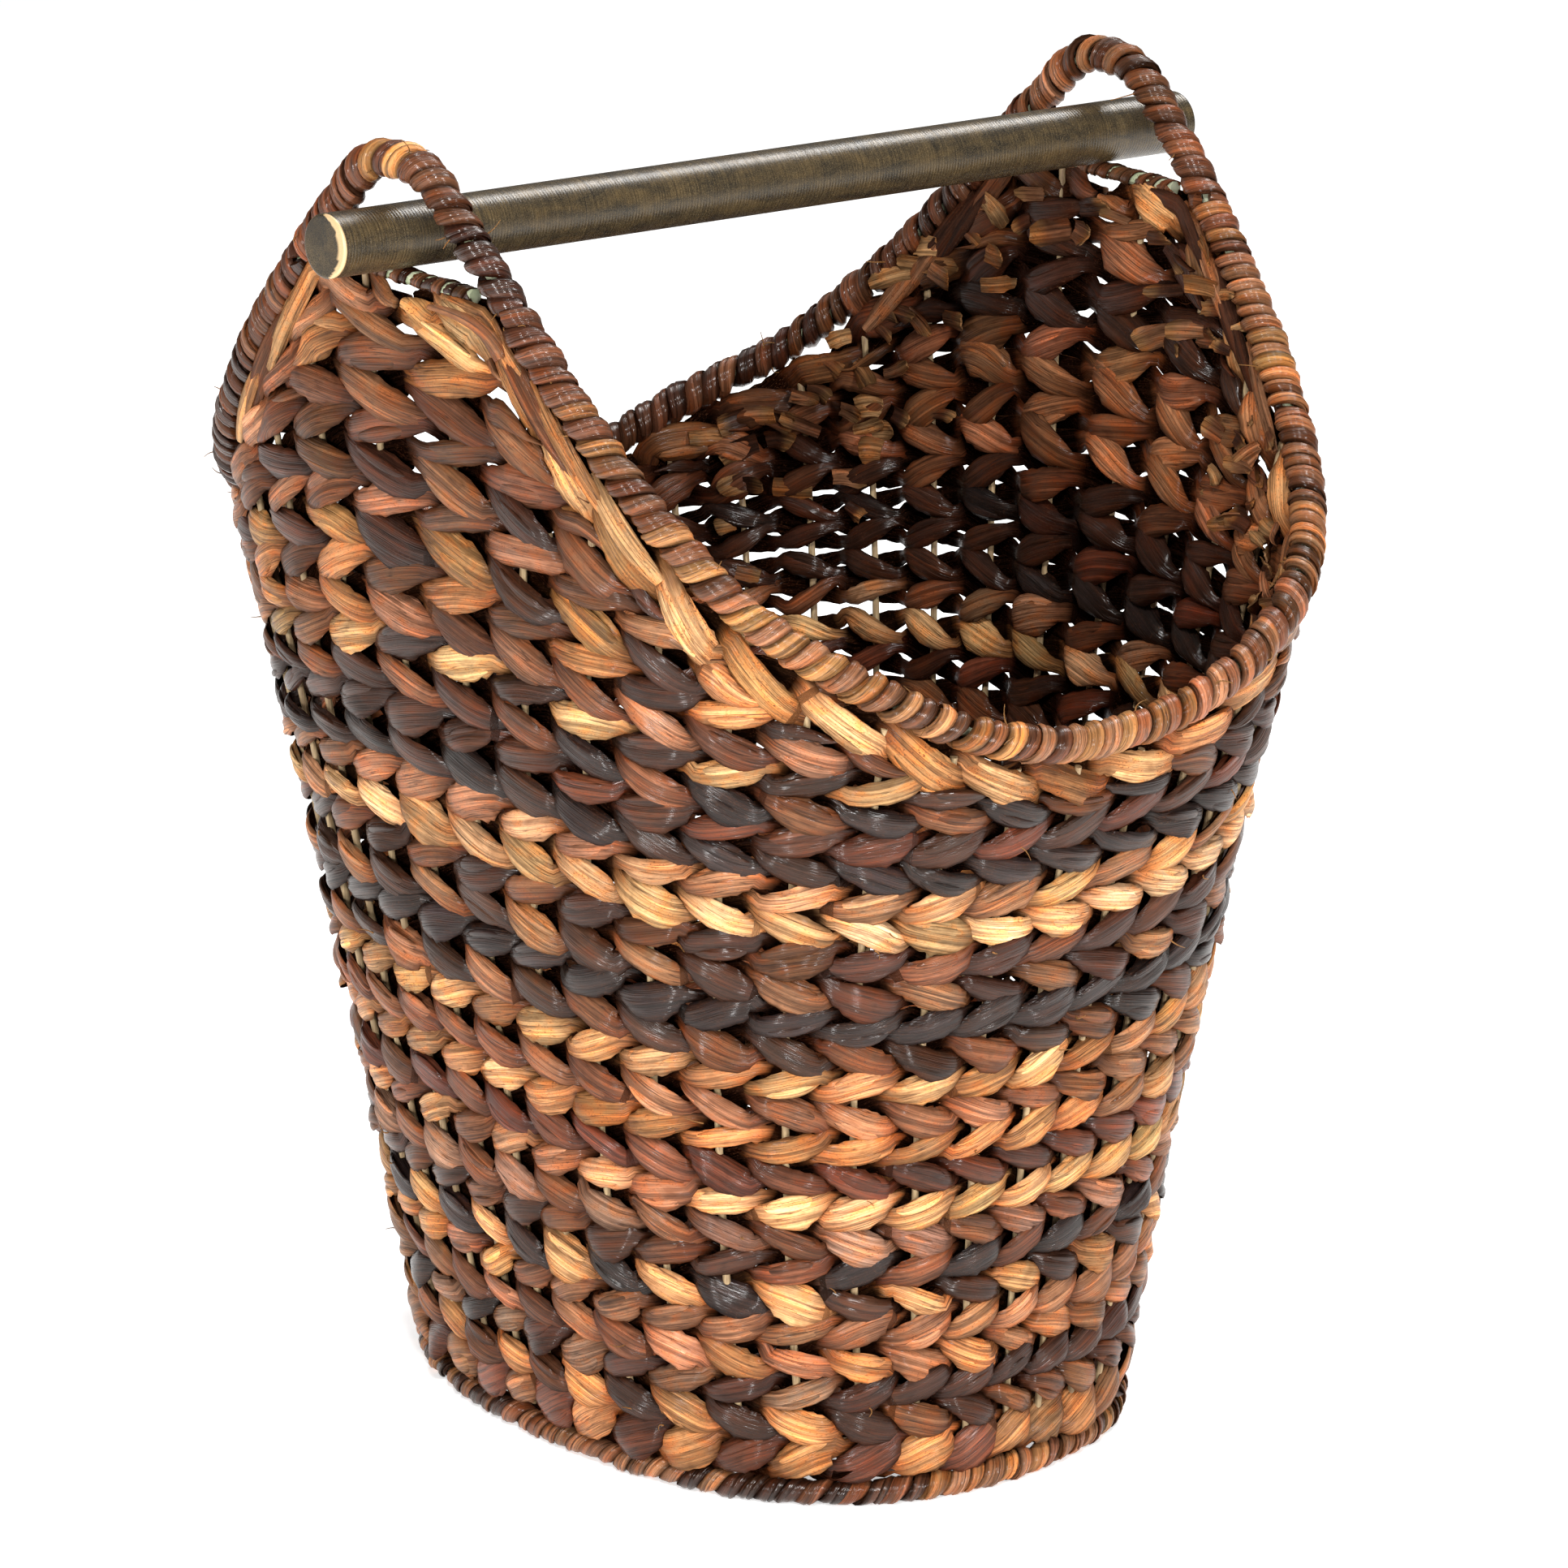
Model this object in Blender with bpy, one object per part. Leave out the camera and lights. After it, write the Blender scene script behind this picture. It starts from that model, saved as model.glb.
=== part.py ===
"""Woven log basket with two peaked ends and a round wooden carrying bar.

Frame: metres, +Z up, origin on the floor under the middle of the basket.
X runs along the carrying bar (the short way of the oval), Y across it (the long way).
The wall is built as it is woven: upright stakes, with one strand of each twined row
outside them and the other strand inside them.
"""
import math

import bmesh
import bpy

# ---------------------------------------------------------------- driving dimensions
REF_HEIGHT = 0.400                        # height at which the flare terms below are whole
HALF_X = (0.1180, 0.0870, -0.0273)        # wall half width along X: base, flare, curve of the flare
HALF_Y = (0.1525, 0.0130, 0.0590)         # the same along Y
SQUARENESS = (2.33, 2.82)                 # superellipse exponent at the floor and at REF_HEIGHT

# Height of the rim centreline against the plan angle, from an ear (0) to a dip (90)
RIM_PROFILE = ((0, 0.535), (4, 0.510), (9, 0.4805), (16, 0.449), (26, 0.4155),
               (40, 0.383), (58, 0.357), (76, 0.334), (90, 0.324))
EAR_SKEW = 0.0078                         # the -X ear stands this much higher, the +X ear lower
RIM_RADIUS = 0.0075
RIM_CORE_RADIUS = 0.0021
RIM_CORE_GAP = 0.0004                     # air between the wire and the leaf wound on it
LOOP_HALF_SPAN = 0.062                    # how far the loop wrapping runs each way from the peak
WRAP_GAP_SHARE = 0.02                     # share of a rim step left open between two wrappings

STAKES = 40                               # upright ends, two to each bent stake
STAKE_WIDTH = 0.0032
STAKE_DEPTH = 0.0026
STAKE_BEND = 0.006
STAKE_STEP = 0.052                        # length of the straight facets up a stake
STAKE_TOP_GAP = 0.0022                    # square gap between the rim wrapping and a stake
STAKE_TOP_DROP = 0.0008                   # and this much lower again

ROWS_PER_COURSE = 2
COURSES = 11                              # courses that run right round the basket
DARK_COURSES_FROM = 7                     # courses above this many are woven in dark leaf
WALL_BOTTOM = 0.012                       # the lowest row starts here
FIRST_ROW_TOP = 0.031
LOWER_ROWS = 17.5                         # rows laid at the lower pitch; the rest at the upper pitch
LOWER_PITCH = (0.0147, 0.0133)            # under an ear, under a dip
UPPER_PITCH = (0.0146, 0.0123, 0.0130)    # at an ear, at the shoulder beside it, at a dip
SHOULDER = 0.35                           # share of the way from an ear to a dip
INNER_BOTTOM = 0.027
STRAND_NEAR = 0.0018                      # strand faces, from the middle of the wall
STRAND_FAR = 0.0058
COURSE_GAP = 0.0006
LINING_GAP = 0.0018                       # square gap between the rim wrapping and the inside rows
EAR_LEVELS = 3
EAR_END_HEIGHT = 0.004                    # the short rows end where this little height is left

BORDER_NEAR_RIM = 0.0094                  # border row, measured square down from the rim centreline
BORDER_FAR_RIM = 0.0218
BORDER_WIDTH = 0.0124                     # its width where it runs level, under a sill
BORDER_END_GAP = 0.0002                   # plan angle between its two lengths and the middle of an ear

FOOT_RADIUS = 0.0055
FOOT_HOLE_RADIUS = 0.0027
FOOT_CORE_RADIUS = 0.0016
FLOOR_ROD_X_HEIGHT = 0.0130
FLOOR_ROD_Y_HEIGHT = 0.0196
FLOOR_BOTTOM = 0.0148
FLOOR_TOP = 0.0178
FLOOR_INSET = 0.009

BAR_RADIUS = 0.0125
BAR_HALF_LENGTH = 0.223
BAR_HEIGHT = 0.5048
BAR_TILT = 0.0107                         # rise of the -X end above the middle
BAR_EDGE = 0.0010
BAR_SIDES = 32
SILL_RADIUS = 0.0030
SILL_HALF_LENGTH = 0.042
SILL_GAP = 0.0005                         # air between the bar and a sill

FINE = 2880                               # steps used when measuring along an outline
RIM_SEGMENTS = {"loop": 9, "side": 29}
TUBE_SIDES = 8
WIRE_SIDES = 6
BISECTIONS = 40
RIM_DIFFERENCE = 0.002                    # plan angle each way when reading the rim's direction

# ---------------------------------------------------------------- materials
LEAF_DARK = (0.085, 0.035, 0.018, 1)
LEAF_BROWN = (0.190, 0.085, 0.036, 1)
LEAF_RED = (0.165, 0.060, 0.028, 1)
LEAF_TAN = (0.420, 0.225, 0.090, 1)
RIM_BROWN = (0.235, 0.105, 0.045, 1)
STAKE_PALE = (0.520, 0.360, 0.180, 1)
WIRE_GREEN = (0.340, 0.370, 0.230, 1)
BAR_BRONZE = (0.075, 0.055, 0.030, 1)


def material(name, color, roughness, metallic=0.0):
    """A Principled material, made once for each name."""
    found = bpy.data.materials.get(name)
    if found:
        return found
    made = bpy.data.materials.new(name)
    made.use_nodes = True
    shader = made.node_tree.nodes["Principled BSDF"]
    shader.inputs["Base Color"].default_value = color
    shader.inputs["Roughness"].default_value = roughness
    shader.inputs["Metallic"].default_value = metallic
    made.diffuse_color = color
    return made


def solid(name, verts, faces, mat, smooth_angle=40):
    """One closed mesh object, shaded smooth below the given edge angle."""
    mesh = bpy.data.meshes.new(name)
    mesh.from_pydata(verts, [], faces)
    work = bmesh.new()
    work.from_mesh(mesh)
    bmesh.ops.recalc_face_normals(work, faces=work.faces)
    work.to_mesh(mesh)
    work.free()
    mesh.shade_smooth()
    mesh.set_sharp_from_angle(angle=math.radians(smooth_angle))
    mesh.materials.append(mat)
    made = bpy.data.objects.new(name, mesh)
    bpy.context.scene.collection.objects.link(made)
    return made


# ---------------------------------------------------------------- shape of the wall
def wall_plan(angle, height):
    """Middle of the wall at a plan angle (radians) and height, as x, y."""
    s = height / REF_HEIGHT
    half_x = HALF_X[0] + HALF_X[1] * s + HALF_X[2] * s * s
    half_y = HALF_Y[0] + HALF_Y[1] * s + HALF_Y[2] * s * s
    power = 2 / (SQUARENESS[0] + (SQUARENESS[1] - SQUARENESS[0]) * min(max(s, 0), 1))
    c, d = math.cos(angle), math.sin(angle)
    return (half_x * math.copysign(abs(c) ** power, c),
            half_y * math.copysign(abs(d) ** power, d))


def wall_normal(angle, height):
    """Level direction that points out of the basket, square to the wall."""
    step = 0.004
    x0, y0 = wall_plan(angle - step, height)
    x1, y1 = wall_plan(angle + step, height)
    length = math.hypot(x1 - x0, y1 - y0)
    return (y1 - y0) / length, -(x1 - x0) / length


def wall_point(angle, height, out=0.0):
    """A point at a distance out from the middle of the wall."""
    x, y = wall_plan(angle, height)
    nx, ny = wall_normal(angle, height)
    return x + nx * out, y + ny * out, height


def smooth_height(degrees):
    """Rim profile read by a Hermite curve whose slopes don't overshoot."""
    xs = [p[0] for p in RIM_PROFILE]
    zs = [p[1] for p in RIM_PROFILE]
    secant = [(zs[i + 1] - zs[i]) / (xs[i + 1] - xs[i]) for i in range(len(xs) - 1)]
    slope = [0.0] + [2 / (1 / secant[i - 1] + 1 / secant[i]) for i in range(1, len(secant))] + [0.0]
    i = min(sum(degrees >= x for x in xs[1:]), len(secant) - 1)
    h = xs[i + 1] - xs[i]
    t = (degrees - xs[i]) / h
    return (zs[i] * (1 + 2 * t) * (1 - t) ** 2 + zs[i + 1] * t * t * (3 - 2 * t)
            + h * slope[i] * t * (1 - t) ** 2 - h * slope[i + 1] * t * t * (1 - t))


def rim_height(angle):
    """Height of the rim centreline at a plan angle."""
    folded = math.degrees(math.atan2(abs(math.sin(angle)), abs(math.cos(angle))))
    c = math.cos(angle)
    return smooth_height(folded) - math.copysign(EAR_SKEW * c * c, c)


def rim_point(angle):
    return wall_point(angle, rim_height(angle))


def rim_angle_at(y):
    """Plan angle, counted from the +X ear, where the rim is this far from the middle of the ear."""
    low, high = 0.0, math.pi / 2
    for _ in range(BISECTIONS):
        middle = (low + high) / 2
        if rim_point(middle)[1] < y:
            low = middle
        else:
            high = middle
    return low


def bar_point(x):
    """A point on the bar's axis, which drops evenly from -X to +X."""
    return x, 0.0, BAR_HEIGHT - BAR_TILT * x / BAR_HALF_LENGTH


def sill_height(angle):
    """Height of the middle of the sill wire at the ear on this side."""
    side = math.copysign(1, math.cos(angle))
    x = side * wall_plan(0.0, BAR_HEIGHT)[0]
    return bar_point(x)[2] - BAR_RADIUS - SILL_GAP - SILL_RADIUS


def ease(share):
    """Smooth step from 0 to 1."""
    share = min(max(share, 0.0), 1.0)
    return share * share * (3 - 2 * share)


def row_edge(row, angle):
    """Height of the edge above that many rows at a plan angle: rows sag from an ear to a dip."""
    folded = math.atan2(abs(math.sin(angle)), abs(math.cos(angle))) / (math.pi / 2)
    low_pitch = LOWER_PITCH[0] + (LOWER_PITCH[1] - LOWER_PITCH[0]) * ease(folded)
    high_pitch = (UPPER_PITCH[0] + (UPPER_PITCH[1] - UPPER_PITCH[0]) * ease(folded / SHOULDER)
                  + (UPPER_PITCH[2] - UPPER_PITCH[1]) * ease((folded - SHOULDER) / (1 - SHOULDER)))
    if row == 0:
        return WALL_BOTTOM
    rise = low_pitch * min(row, LOWER_ROWS) + high_pitch * max(row - LOWER_ROWS, 0)
    return FIRST_ROW_TOP + rise - low_pitch


def below_rim(angle, distance):
    """Height on the wall that lies at a square distance below the rim centreline."""
    step = 0.01
    a, b = rim_point(angle - step), rim_point(angle + step)
    slope = (b[2] - a[2]) / math.hypot(b[0] - a[0], b[1] - a[1])
    return rim_height(angle) - distance * math.sqrt(1 + slope * slope)


def even_angles(count, point_at, start=0.0, stop=2 * math.pi):
    """Angles at equal distances along a curve, each in the middle of its share."""
    fine = [start + (stop - start) * i / FINE for i in range(FINE + 1)]
    points = [point_at(a) for a in fine]
    along = [0.0]
    for p, q in zip(points, points[1:]):
        along.append(along[-1] + math.dist(p, q))
    angles, i = [], 0
    for k in range(count):
        target = along[-1] * (k + 0.5) / count
        while along[i + 1] < target:
            i += 1
        share = (target - along[i]) / (along[i + 1] - along[i])
        angles.append(fine[i] + (fine[i + 1] - fine[i]) * share)
    return angles


def stake_angles():
    """Plan angles of the stakes, the same in each quarter of the oval."""
    quarter = even_angles(STAKES // 4, lambda a: wall_point(a, REF_HEIGHT / 2), 0, math.pi / 2)
    half = quarter + [math.pi - a for a in reversed(quarter)]
    return half + [a + math.pi for a in half]


# ---------------------------------------------------------------- closed strips and tubes
def strip(name, angles, lows, highs, near, far, mat, levels=1, closed=False):
    """A band of wall between two distances out, with a low and a high edge at each angle."""
    verts, faces = [], []
    for angle, low, high in zip(angles, lows, highs):
        for out in (near, far):
            for k in range(levels + 1):
                verts.append(wall_point(angle, low + (high - low) * k / levels, out))
    ring = 2 * (levels + 1)
    near_side = list(range(levels + 1))
    far_side = list(range(levels + 1, ring))
    loop = near_side + far_side[::-1]
    columns = len(angles)
    for i in range(columns if closed else columns - 1):
        a, b = i * ring, (i + 1) % columns * ring
        for p, q in zip(loop, loop[1:] + loop[:1]):
            faces.append((a + p, a + q, b + q, b + p))
    if not closed:
        for k in range(levels):
            n, f = near_side[k], far_side[k]
            last = (columns - 1) * ring
            faces.append((n, f, f + 1, n + 1))
            faces.append((last + n, last + n + 1, last + f + 1, last + f))
    return solid(name, verts, faces, mat)


def frames_along(points, closed=False, up=(0, 0, 1)):
    """Two directions square to a path at each of its points."""
    frames = []
    count = len(points)
    for i in range(count):
        before = points[(i - 1) % count] if closed or i else points[0]
        after = points[(i + 1) % count] if closed or i < count - 1 else points[-1]
        along = [q - p for p, q in zip(before, after)]
        length = math.sqrt(sum(v * v for v in along))
        along = [v / length for v in along]
        lift = sum(u * v for u, v in zip(up, along))
        first = [u - lift * v for u, v in zip(up, along)]
        length = math.sqrt(sum(v * v for v in first))
        first = [v / length for v in first]
        second = [along[1] * first[2] - along[2] * first[1],
                  along[2] * first[0] - along[0] * first[2],
                  along[0] * first[1] - along[1] * first[0]]
        frames.append((first, second))
    return frames


def circle(radius, sides, turn=0.5):
    """Points of a round section, as distances along the two section directions."""
    return [(radius * math.cos(2 * math.pi * (k + turn) / sides),
             radius * math.sin(2 * math.pi * (k + turn) / sides)) for k in range(sides)]


def place(point, frame, section):
    first, second = frame
    return [tuple(c + u * f + v * s for c, f, s in zip(point, first, second)) for u, v in section]


def rod(name, points, section, mat, frames=None, closed=False):
    """A solid rod of one section along a path."""
    frames = frames or frames_along(points, closed)
    verts, faces = [], []
    for point, frame in zip(points, frames):
        verts += place(point, frame, section)
    n, count = len(section), len(points)
    for i in range(count if closed else count - 1):
        a, b = i * n, (i + 1) % count * n
        for k in range(n):
            j = (k + 1) % n
            faces.append((a + k, a + j, b + j, b + k))
    if not closed:
        faces.append(tuple(range(n))[::-1])
        faces.append(tuple(range((count - 1) * n, count * n)))
    return solid(name, verts, faces, mat)


def sleeve(name, points, outer, inner, frames, mat):
    """A tube with an open bore along a path."""
    verts, faces = [], []
    n = len(outer)
    for point, frame in zip(points, frames):
        verts += place(point, frame, outer) + place(point, frame, inner)
    for i in range(len(points) - 1):
        a, b = i * 2 * n, (i + 1) * 2 * n
        for k in range(n):
            j = (k + 1) % n
            faces.append((a + k, a + j, b + j, b + k))
            faces.append((a + n + j, a + n + k, b + n + k, b + n + j))
    last = (len(points) - 1) * 2 * n
    for k in range(n):
        j = (k + 1) % n
        faces.append((k, n + k, n + j, j))
        faces.append((last + k, last + j, last + n + j, last + n + k))
    return solid(name, verts, faces, mat)


# ---------------------------------------------------------------- the pieces
def border_edges(angle):
    """Low and high edge of the border row: under the rim, and level where a sill crosses."""
    level = sill_height(angle) - SILL_RADIUS - COURSE_GAP
    high = min(below_rim(angle, BORDER_NEAR_RIM), level)
    low = min(below_rim(angle, BORDER_FAR_RIM), level - BORDER_WIDTH)
    return low, high


def wall_top(angle):
    """Where the outside rows stop under the border row."""
    return border_edges(angle)[0] - COURSE_GAP


def lining_top(angle):
    """Where the inside rows stop under the rim or the sill."""
    return min(below_rim(angle, RIM_RADIUS + LINING_GAP),
               sill_height(angle) - SILL_RADIUS - COURSE_GAP)


def build_courses(angles):
    """The courses that run right round: a pair of rows outside and the same inside."""
    dark = material("leaf_dark", LEAF_DARK, 0.5)
    brown = material("leaf_brown", LEAF_BROWN, 0.5)
    for k in range(COURSES):
        mat = dark if k >= DARK_COURSES_FROM else brown
        first = k * ROWS_PER_COURSE
        lows = [row_edge(first, a) for a in angles]
        highs = [row_edge(first + ROWS_PER_COURSE, a) - COURSE_GAP for a in angles]
        tops = [min(high, wall_top(a)) for a, high in zip(angles, highs)]
        strip(f"course_{k + 1:02d}_outer", angles, lows, tops, STRAND_NEAR, STRAND_FAR, mat,
              closed=True)
        lows = [max(low, INNER_BOTTOM) for low in lows]
        tops = [min(high, lining_top(a)) for a, high in zip(angles, highs)]
        strip(f"course_{k + 1:02d}_inner", angles, lows, tops, -STRAND_FAR, -STRAND_NEAR, mat,
              closed=True)


def build_ears(angles):
    """The short rows that fill each ear up to the sill, outside and inside."""
    mat = material("leaf_red", LEAF_RED, 0.5)
    rows = COURSES * ROWS_PER_COURSE
    for side, centre in (("left", math.pi), ("right", 0.0)):
        near_ear = sorted(math.remainder(a - centre, 2 * math.pi) for a in angles)
        near_ear = [centre + a for a in near_ear if abs(a) < math.pi / 2]
        for skin, top_at, near, far in (("outer", wall_top, STRAND_NEAR, STRAND_FAR),
                                        ("inner", lining_top, -STRAND_FAR, -STRAND_NEAR)):
            used = [a for a in near_ear if top_at(a) > row_edge(rows, a) + EAR_END_HEIGHT]
            lows = [row_edge(rows, a) for a in used]
            strip(f"ear_{side}_{skin}", used, lows, [top_at(a) for a in used], near, far, mat,
                  levels=EAR_LEVELS)


def build_stakes(angles):
    """Bent stakes: up one side, across the floor and up the other side."""
    mat = material("stake", STAKE_PALE, 0.6)
    section = [(-STAKE_DEPTH / 2, -STAKE_WIDTH / 2), (STAKE_DEPTH / 2, -STAKE_WIDTH / 2),
               (STAKE_DEPTH / 2, STAKE_WIDTH / 2), (-STAKE_DEPTH / 2, STAKE_WIDTH / 2)]
    quarter = STAKES // 4
    pairs = []
    for k in range(quarter):
        t = angles[k]
        if k < quarter // 2:
            pairs += [("short", t, math.pi - t), ("short", -t, math.pi + t)]
        else:
            pairs += [("long", t, -t), ("long", math.pi - t, math.pi + t)]
    counts = {"short": 0, "long": 0}
    for way, first, second in pairs:
        counts[way] += 1
        floor = FLOOR_ROD_X_HEIGHT if way == "short" else FLOOR_ROD_Y_HEIGHT
        rise_a, lay_a = stake_leg(first, floor, way)
        rise_b, lay_b = stake_leg(second, floor, way)
        points = rise_a + [lay_a, lay_b] + rise_b[::-1]
        frames = stake_frames(points, way, floor, first, second)
        rod(f"stake_{way}_{counts[way]:02d}", points, section, mat, frames)


def stake_leg(angle, floor, way):
    """One upright, from its top down to the bend, and the point where it lies on the floor."""
    top = min(below_rim(angle, RIM_RADIUS + STAKE_TOP_GAP) - STAKE_TOP_DROP,
              sill_height(angle) - SILL_RADIUS - COURSE_GAP)
    low = floor + STAKE_BEND
    count = max(2, round((top - low) / STAKE_STEP))
    levels = [low + (top - low) * k / count for k in range(count + 1)]
    x, y, _ = wall_point(angle, floor)
    lay = ((x - math.copysign(STAKE_BEND, x), y, floor) if way == "short"
           else (x, y - math.copysign(STAKE_BEND, y), floor))
    return [wall_point(angle, z) for z in reversed(levels)], lay


def stake_frames(points, way, floor, first, second):
    """Section directions: through the wall on the uprights, up on the floor."""
    frames = []
    half = len(points) // 2
    middle = sum(p[2] > floor for p in points[:half])
    along = (1, 0, 0) if way == "short" else (0, 1, 0)
    run = sum((q - p) * v for p, q, v in zip(points[middle], points[middle + 1], along))
    heading = math.copysign(1, run)
    for i in range(len(points)):
        angle = first if i <= middle else second
        if points[i][2] > floor:
            nx, ny = wall_normal(angle, points[i][2])
            sign = 1 if i <= middle else -1
            frames.append(((nx, ny, 0), (-ny * sign, nx * sign, 0)))
        else:
            side = (along[1] * heading, -along[0] * heading, 0)
            frames.append(((0, 0, -1), side))
    return frames


def build_rim():
    """Frame wire of the rim and the leaf wound on it, in four lengths."""
    loop_end = rim_angle_at(LOOP_HALF_SPAN)
    wrap = material("rim_wrap", RIM_BROWN, 0.45)
    core = material("frame_wire", WIRE_GREEN, 0.5)
    outer = circle(RIM_RADIUS, TUBE_SIDES)
    inner = circle(RIM_CORE_RADIUS + RIM_CORE_GAP, TUBE_SIDES)
    lengths = (("rim_wrap_loop_right", -loop_end, loop_end, "loop"),
               ("rim_wrap_back", loop_end, math.pi - loop_end, "side"),
               ("rim_wrap_loop_left", math.pi - loop_end, math.pi + loop_end, "loop"),
               ("rim_wrap_front", math.pi + loop_end, 2 * math.pi - loop_end, "side"))
    core_points = []
    for name, start, stop, kind in lengths:
        count = RIM_SEGMENTS[kind]
        inside = even_angles(count, rim_point, start, stop)
        core_points += [rim_point(a) for a in inside]
        gap = (inside[1] - inside[0]) * WRAP_GAP_SHARE
        angles = [start + gap] + inside + [stop - gap]
        points = [rim_point(a) for a in angles]
        sleeve(name, points, outer, inner, rim_frames(angles), wrap)
    rod("rim_core", core_points, circle(RIM_CORE_RADIUS, WIRE_SIDES), core,
        frames_out(core_points), closed=True)


def rim_frames(angles):
    """Section directions of the rim: out of the basket, and square to that and to the rim."""
    frames = []
    for a in angles:
        p, q = rim_point(a - RIM_DIFFERENCE), rim_point(a + RIM_DIFFERENCE)
        nx, ny = wall_normal(a, rim_height(a))
        frames.append(section_frame(p, q, (nx, ny, 0)))
    return frames


def frames_out(points):
    """The same for a closed list of rim points."""
    count = len(points)
    frames = []
    for i in range(count):
        p, q = points[i - 1], points[(i + 1) % count]
        length = math.hypot(q[0] - p[0], q[1] - p[1])
        frames.append(section_frame(p, q, ((q[1] - p[1]) / length, -(q[0] - p[0]) / length, 0)))
    return frames


def section_frame(p, q, out):
    """Right-handed section directions for a path running from p to q."""
    length = math.dist(p, q)
    along = [(b - a) / length for a, b in zip(p, q)]
    lean = sum(a * o for a, o in zip(along, out))
    first = [o - lean * a for a, o in zip(along, out)]
    size = math.sqrt(sum(v * v for v in first))
    first = [v / size for v in first]
    second = [along[1] * first[2] - along[2] * first[1],
              along[2] * first[0] - along[0] * first[2],
              along[0] * first[1] - along[1] * first[0]]
    return first, second


def build_border_rows(angles):
    """The long pale leaves twined just under the rim, outside, from ear to ear."""
    mat = material("leaf_tan", LEAF_TAN, 0.5)
    for name, centre in (("border_row_front", -math.pi / 2), ("border_row_back", math.pi / 2)):
        offsets = sorted(math.remainder(a - centre, 2 * math.pi) for a in angles)
        ends = math.pi / 2 - BORDER_END_GAP
        offsets = [-ends] + [o for o in offsets if abs(o) < ends] + [ends]
        used = [centre + o for o in offsets]
        edges = [border_edges(a) for a in used]
        strip(name, used, [e[0] for e in edges], [e[1] for e in edges], STRAND_NEAR, STRAND_FAR, mat)


def build_foot(angles):
    """The wound hoop under the wall: its wire, and the leaf round it, open on the inside."""
    points = [wall_point(a, FOOT_RADIUS) for a in angles]
    frames = [((*wall_normal(a, FOOT_RADIUS), 0), (0, 0, 1)) for a in angles]
    flat = FOOT_RADIUS / math.cos(math.pi / TUBE_SIDES)
    outer = circle(flat, TUBE_SIDES)
    half = TUBE_SIDES // 2
    outer = outer[half:] + outer[:half]
    inner = circle(FOOT_HOLE_RADIUS, 4)
    inner = inner[2:] + inner[:2]
    section = outer + inner[::-1]
    rod("foot_wrap", points, section, material("foot_wrap", RIM_BROWN, 0.45), frames, closed=True)
    rod("foot_core", points, circle(FOOT_CORE_RADIUS, WIRE_SIDES),
        material("frame_wire", WIRE_GREEN, 0.5), frames, closed=True)


def build_floor(angles):
    """The woven floor panel between the two layers of stakes."""
    rims = []
    for height in (FLOOR_BOTTOM, FLOOR_TOP):
        rims.append([(*wall_point(a, FLOOR_BOTTOM, -FLOOR_INSET)[:2], height) for a in angles])
    n = len(angles)
    faces = [tuple(range(n))[::-1], tuple(range(n, 2 * n))]
    for k in range(n):
        j = (k + 1) % n
        faces.append((k, j, n + j, n + k))
    solid("floor_panel", rims[0] + rims[1], faces, material("leaf_brown", LEAF_BROWN, 0.5))


def build_bar():
    """The round wooden bar, with its end edges rounded over; its origin is on its axis."""
    tilt = math.atan2(BAR_TILT, BAR_HALF_LENGTH)
    length = 2 * math.hypot(BAR_HALF_LENGTH, BAR_TILT)
    bpy.ops.mesh.primitive_cylinder_add(vertices=BAR_SIDES, radius=BAR_RADIUS, depth=length,
                                        location=(0, 0, BAR_HEIGHT),
                                        rotation=(0, math.pi / 2 + tilt, 0))
    bar = bpy.context.object
    bar.name = bar.data.name = "handle_bar"
    bar.data.materials.append(material("bar_paint", BAR_BRONZE, 0.42, 0.15))
    edge = bar.modifiers.new("end_edges", "BEVEL")
    edge.width = BAR_EDGE
    edge.segments = 2
    edge.angle_limit = math.radians(60)
    bar.data.shade_smooth()
    bar.data.set_sharp_from_angle(angle=math.radians(40))


def build_sills():
    """The short wires across each loop that the bar lies on."""
    mat = material("frame_wire", WIRE_GREEN, 0.5)
    for name, side in (("sill_wire_left", -1), ("sill_wire_right", 1)):
        angle = 0.0 if side > 0 else math.pi
        z = sill_height(angle)
        x = wall_plan(angle, z)[0]
        points = [(x, -SILL_HALF_LENGTH, z), (x, 0, z), (x, SILL_HALF_LENGTH, z)]
        rod(name, points, circle(SILL_RADIUS, TUBE_SIDES), mat)


def main():
    for old in list(bpy.data.objects):
        bpy.data.objects.remove(old, do_unlink=True)
    angles = stake_angles()
    build_courses(angles)
    build_ears(angles)
    build_stakes(angles)
    build_border_rows(angles)
    build_rim()
    build_foot(angles)
    build_floor(angles)
    build_sills()
    build_bar()


main()
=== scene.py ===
import math

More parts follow.
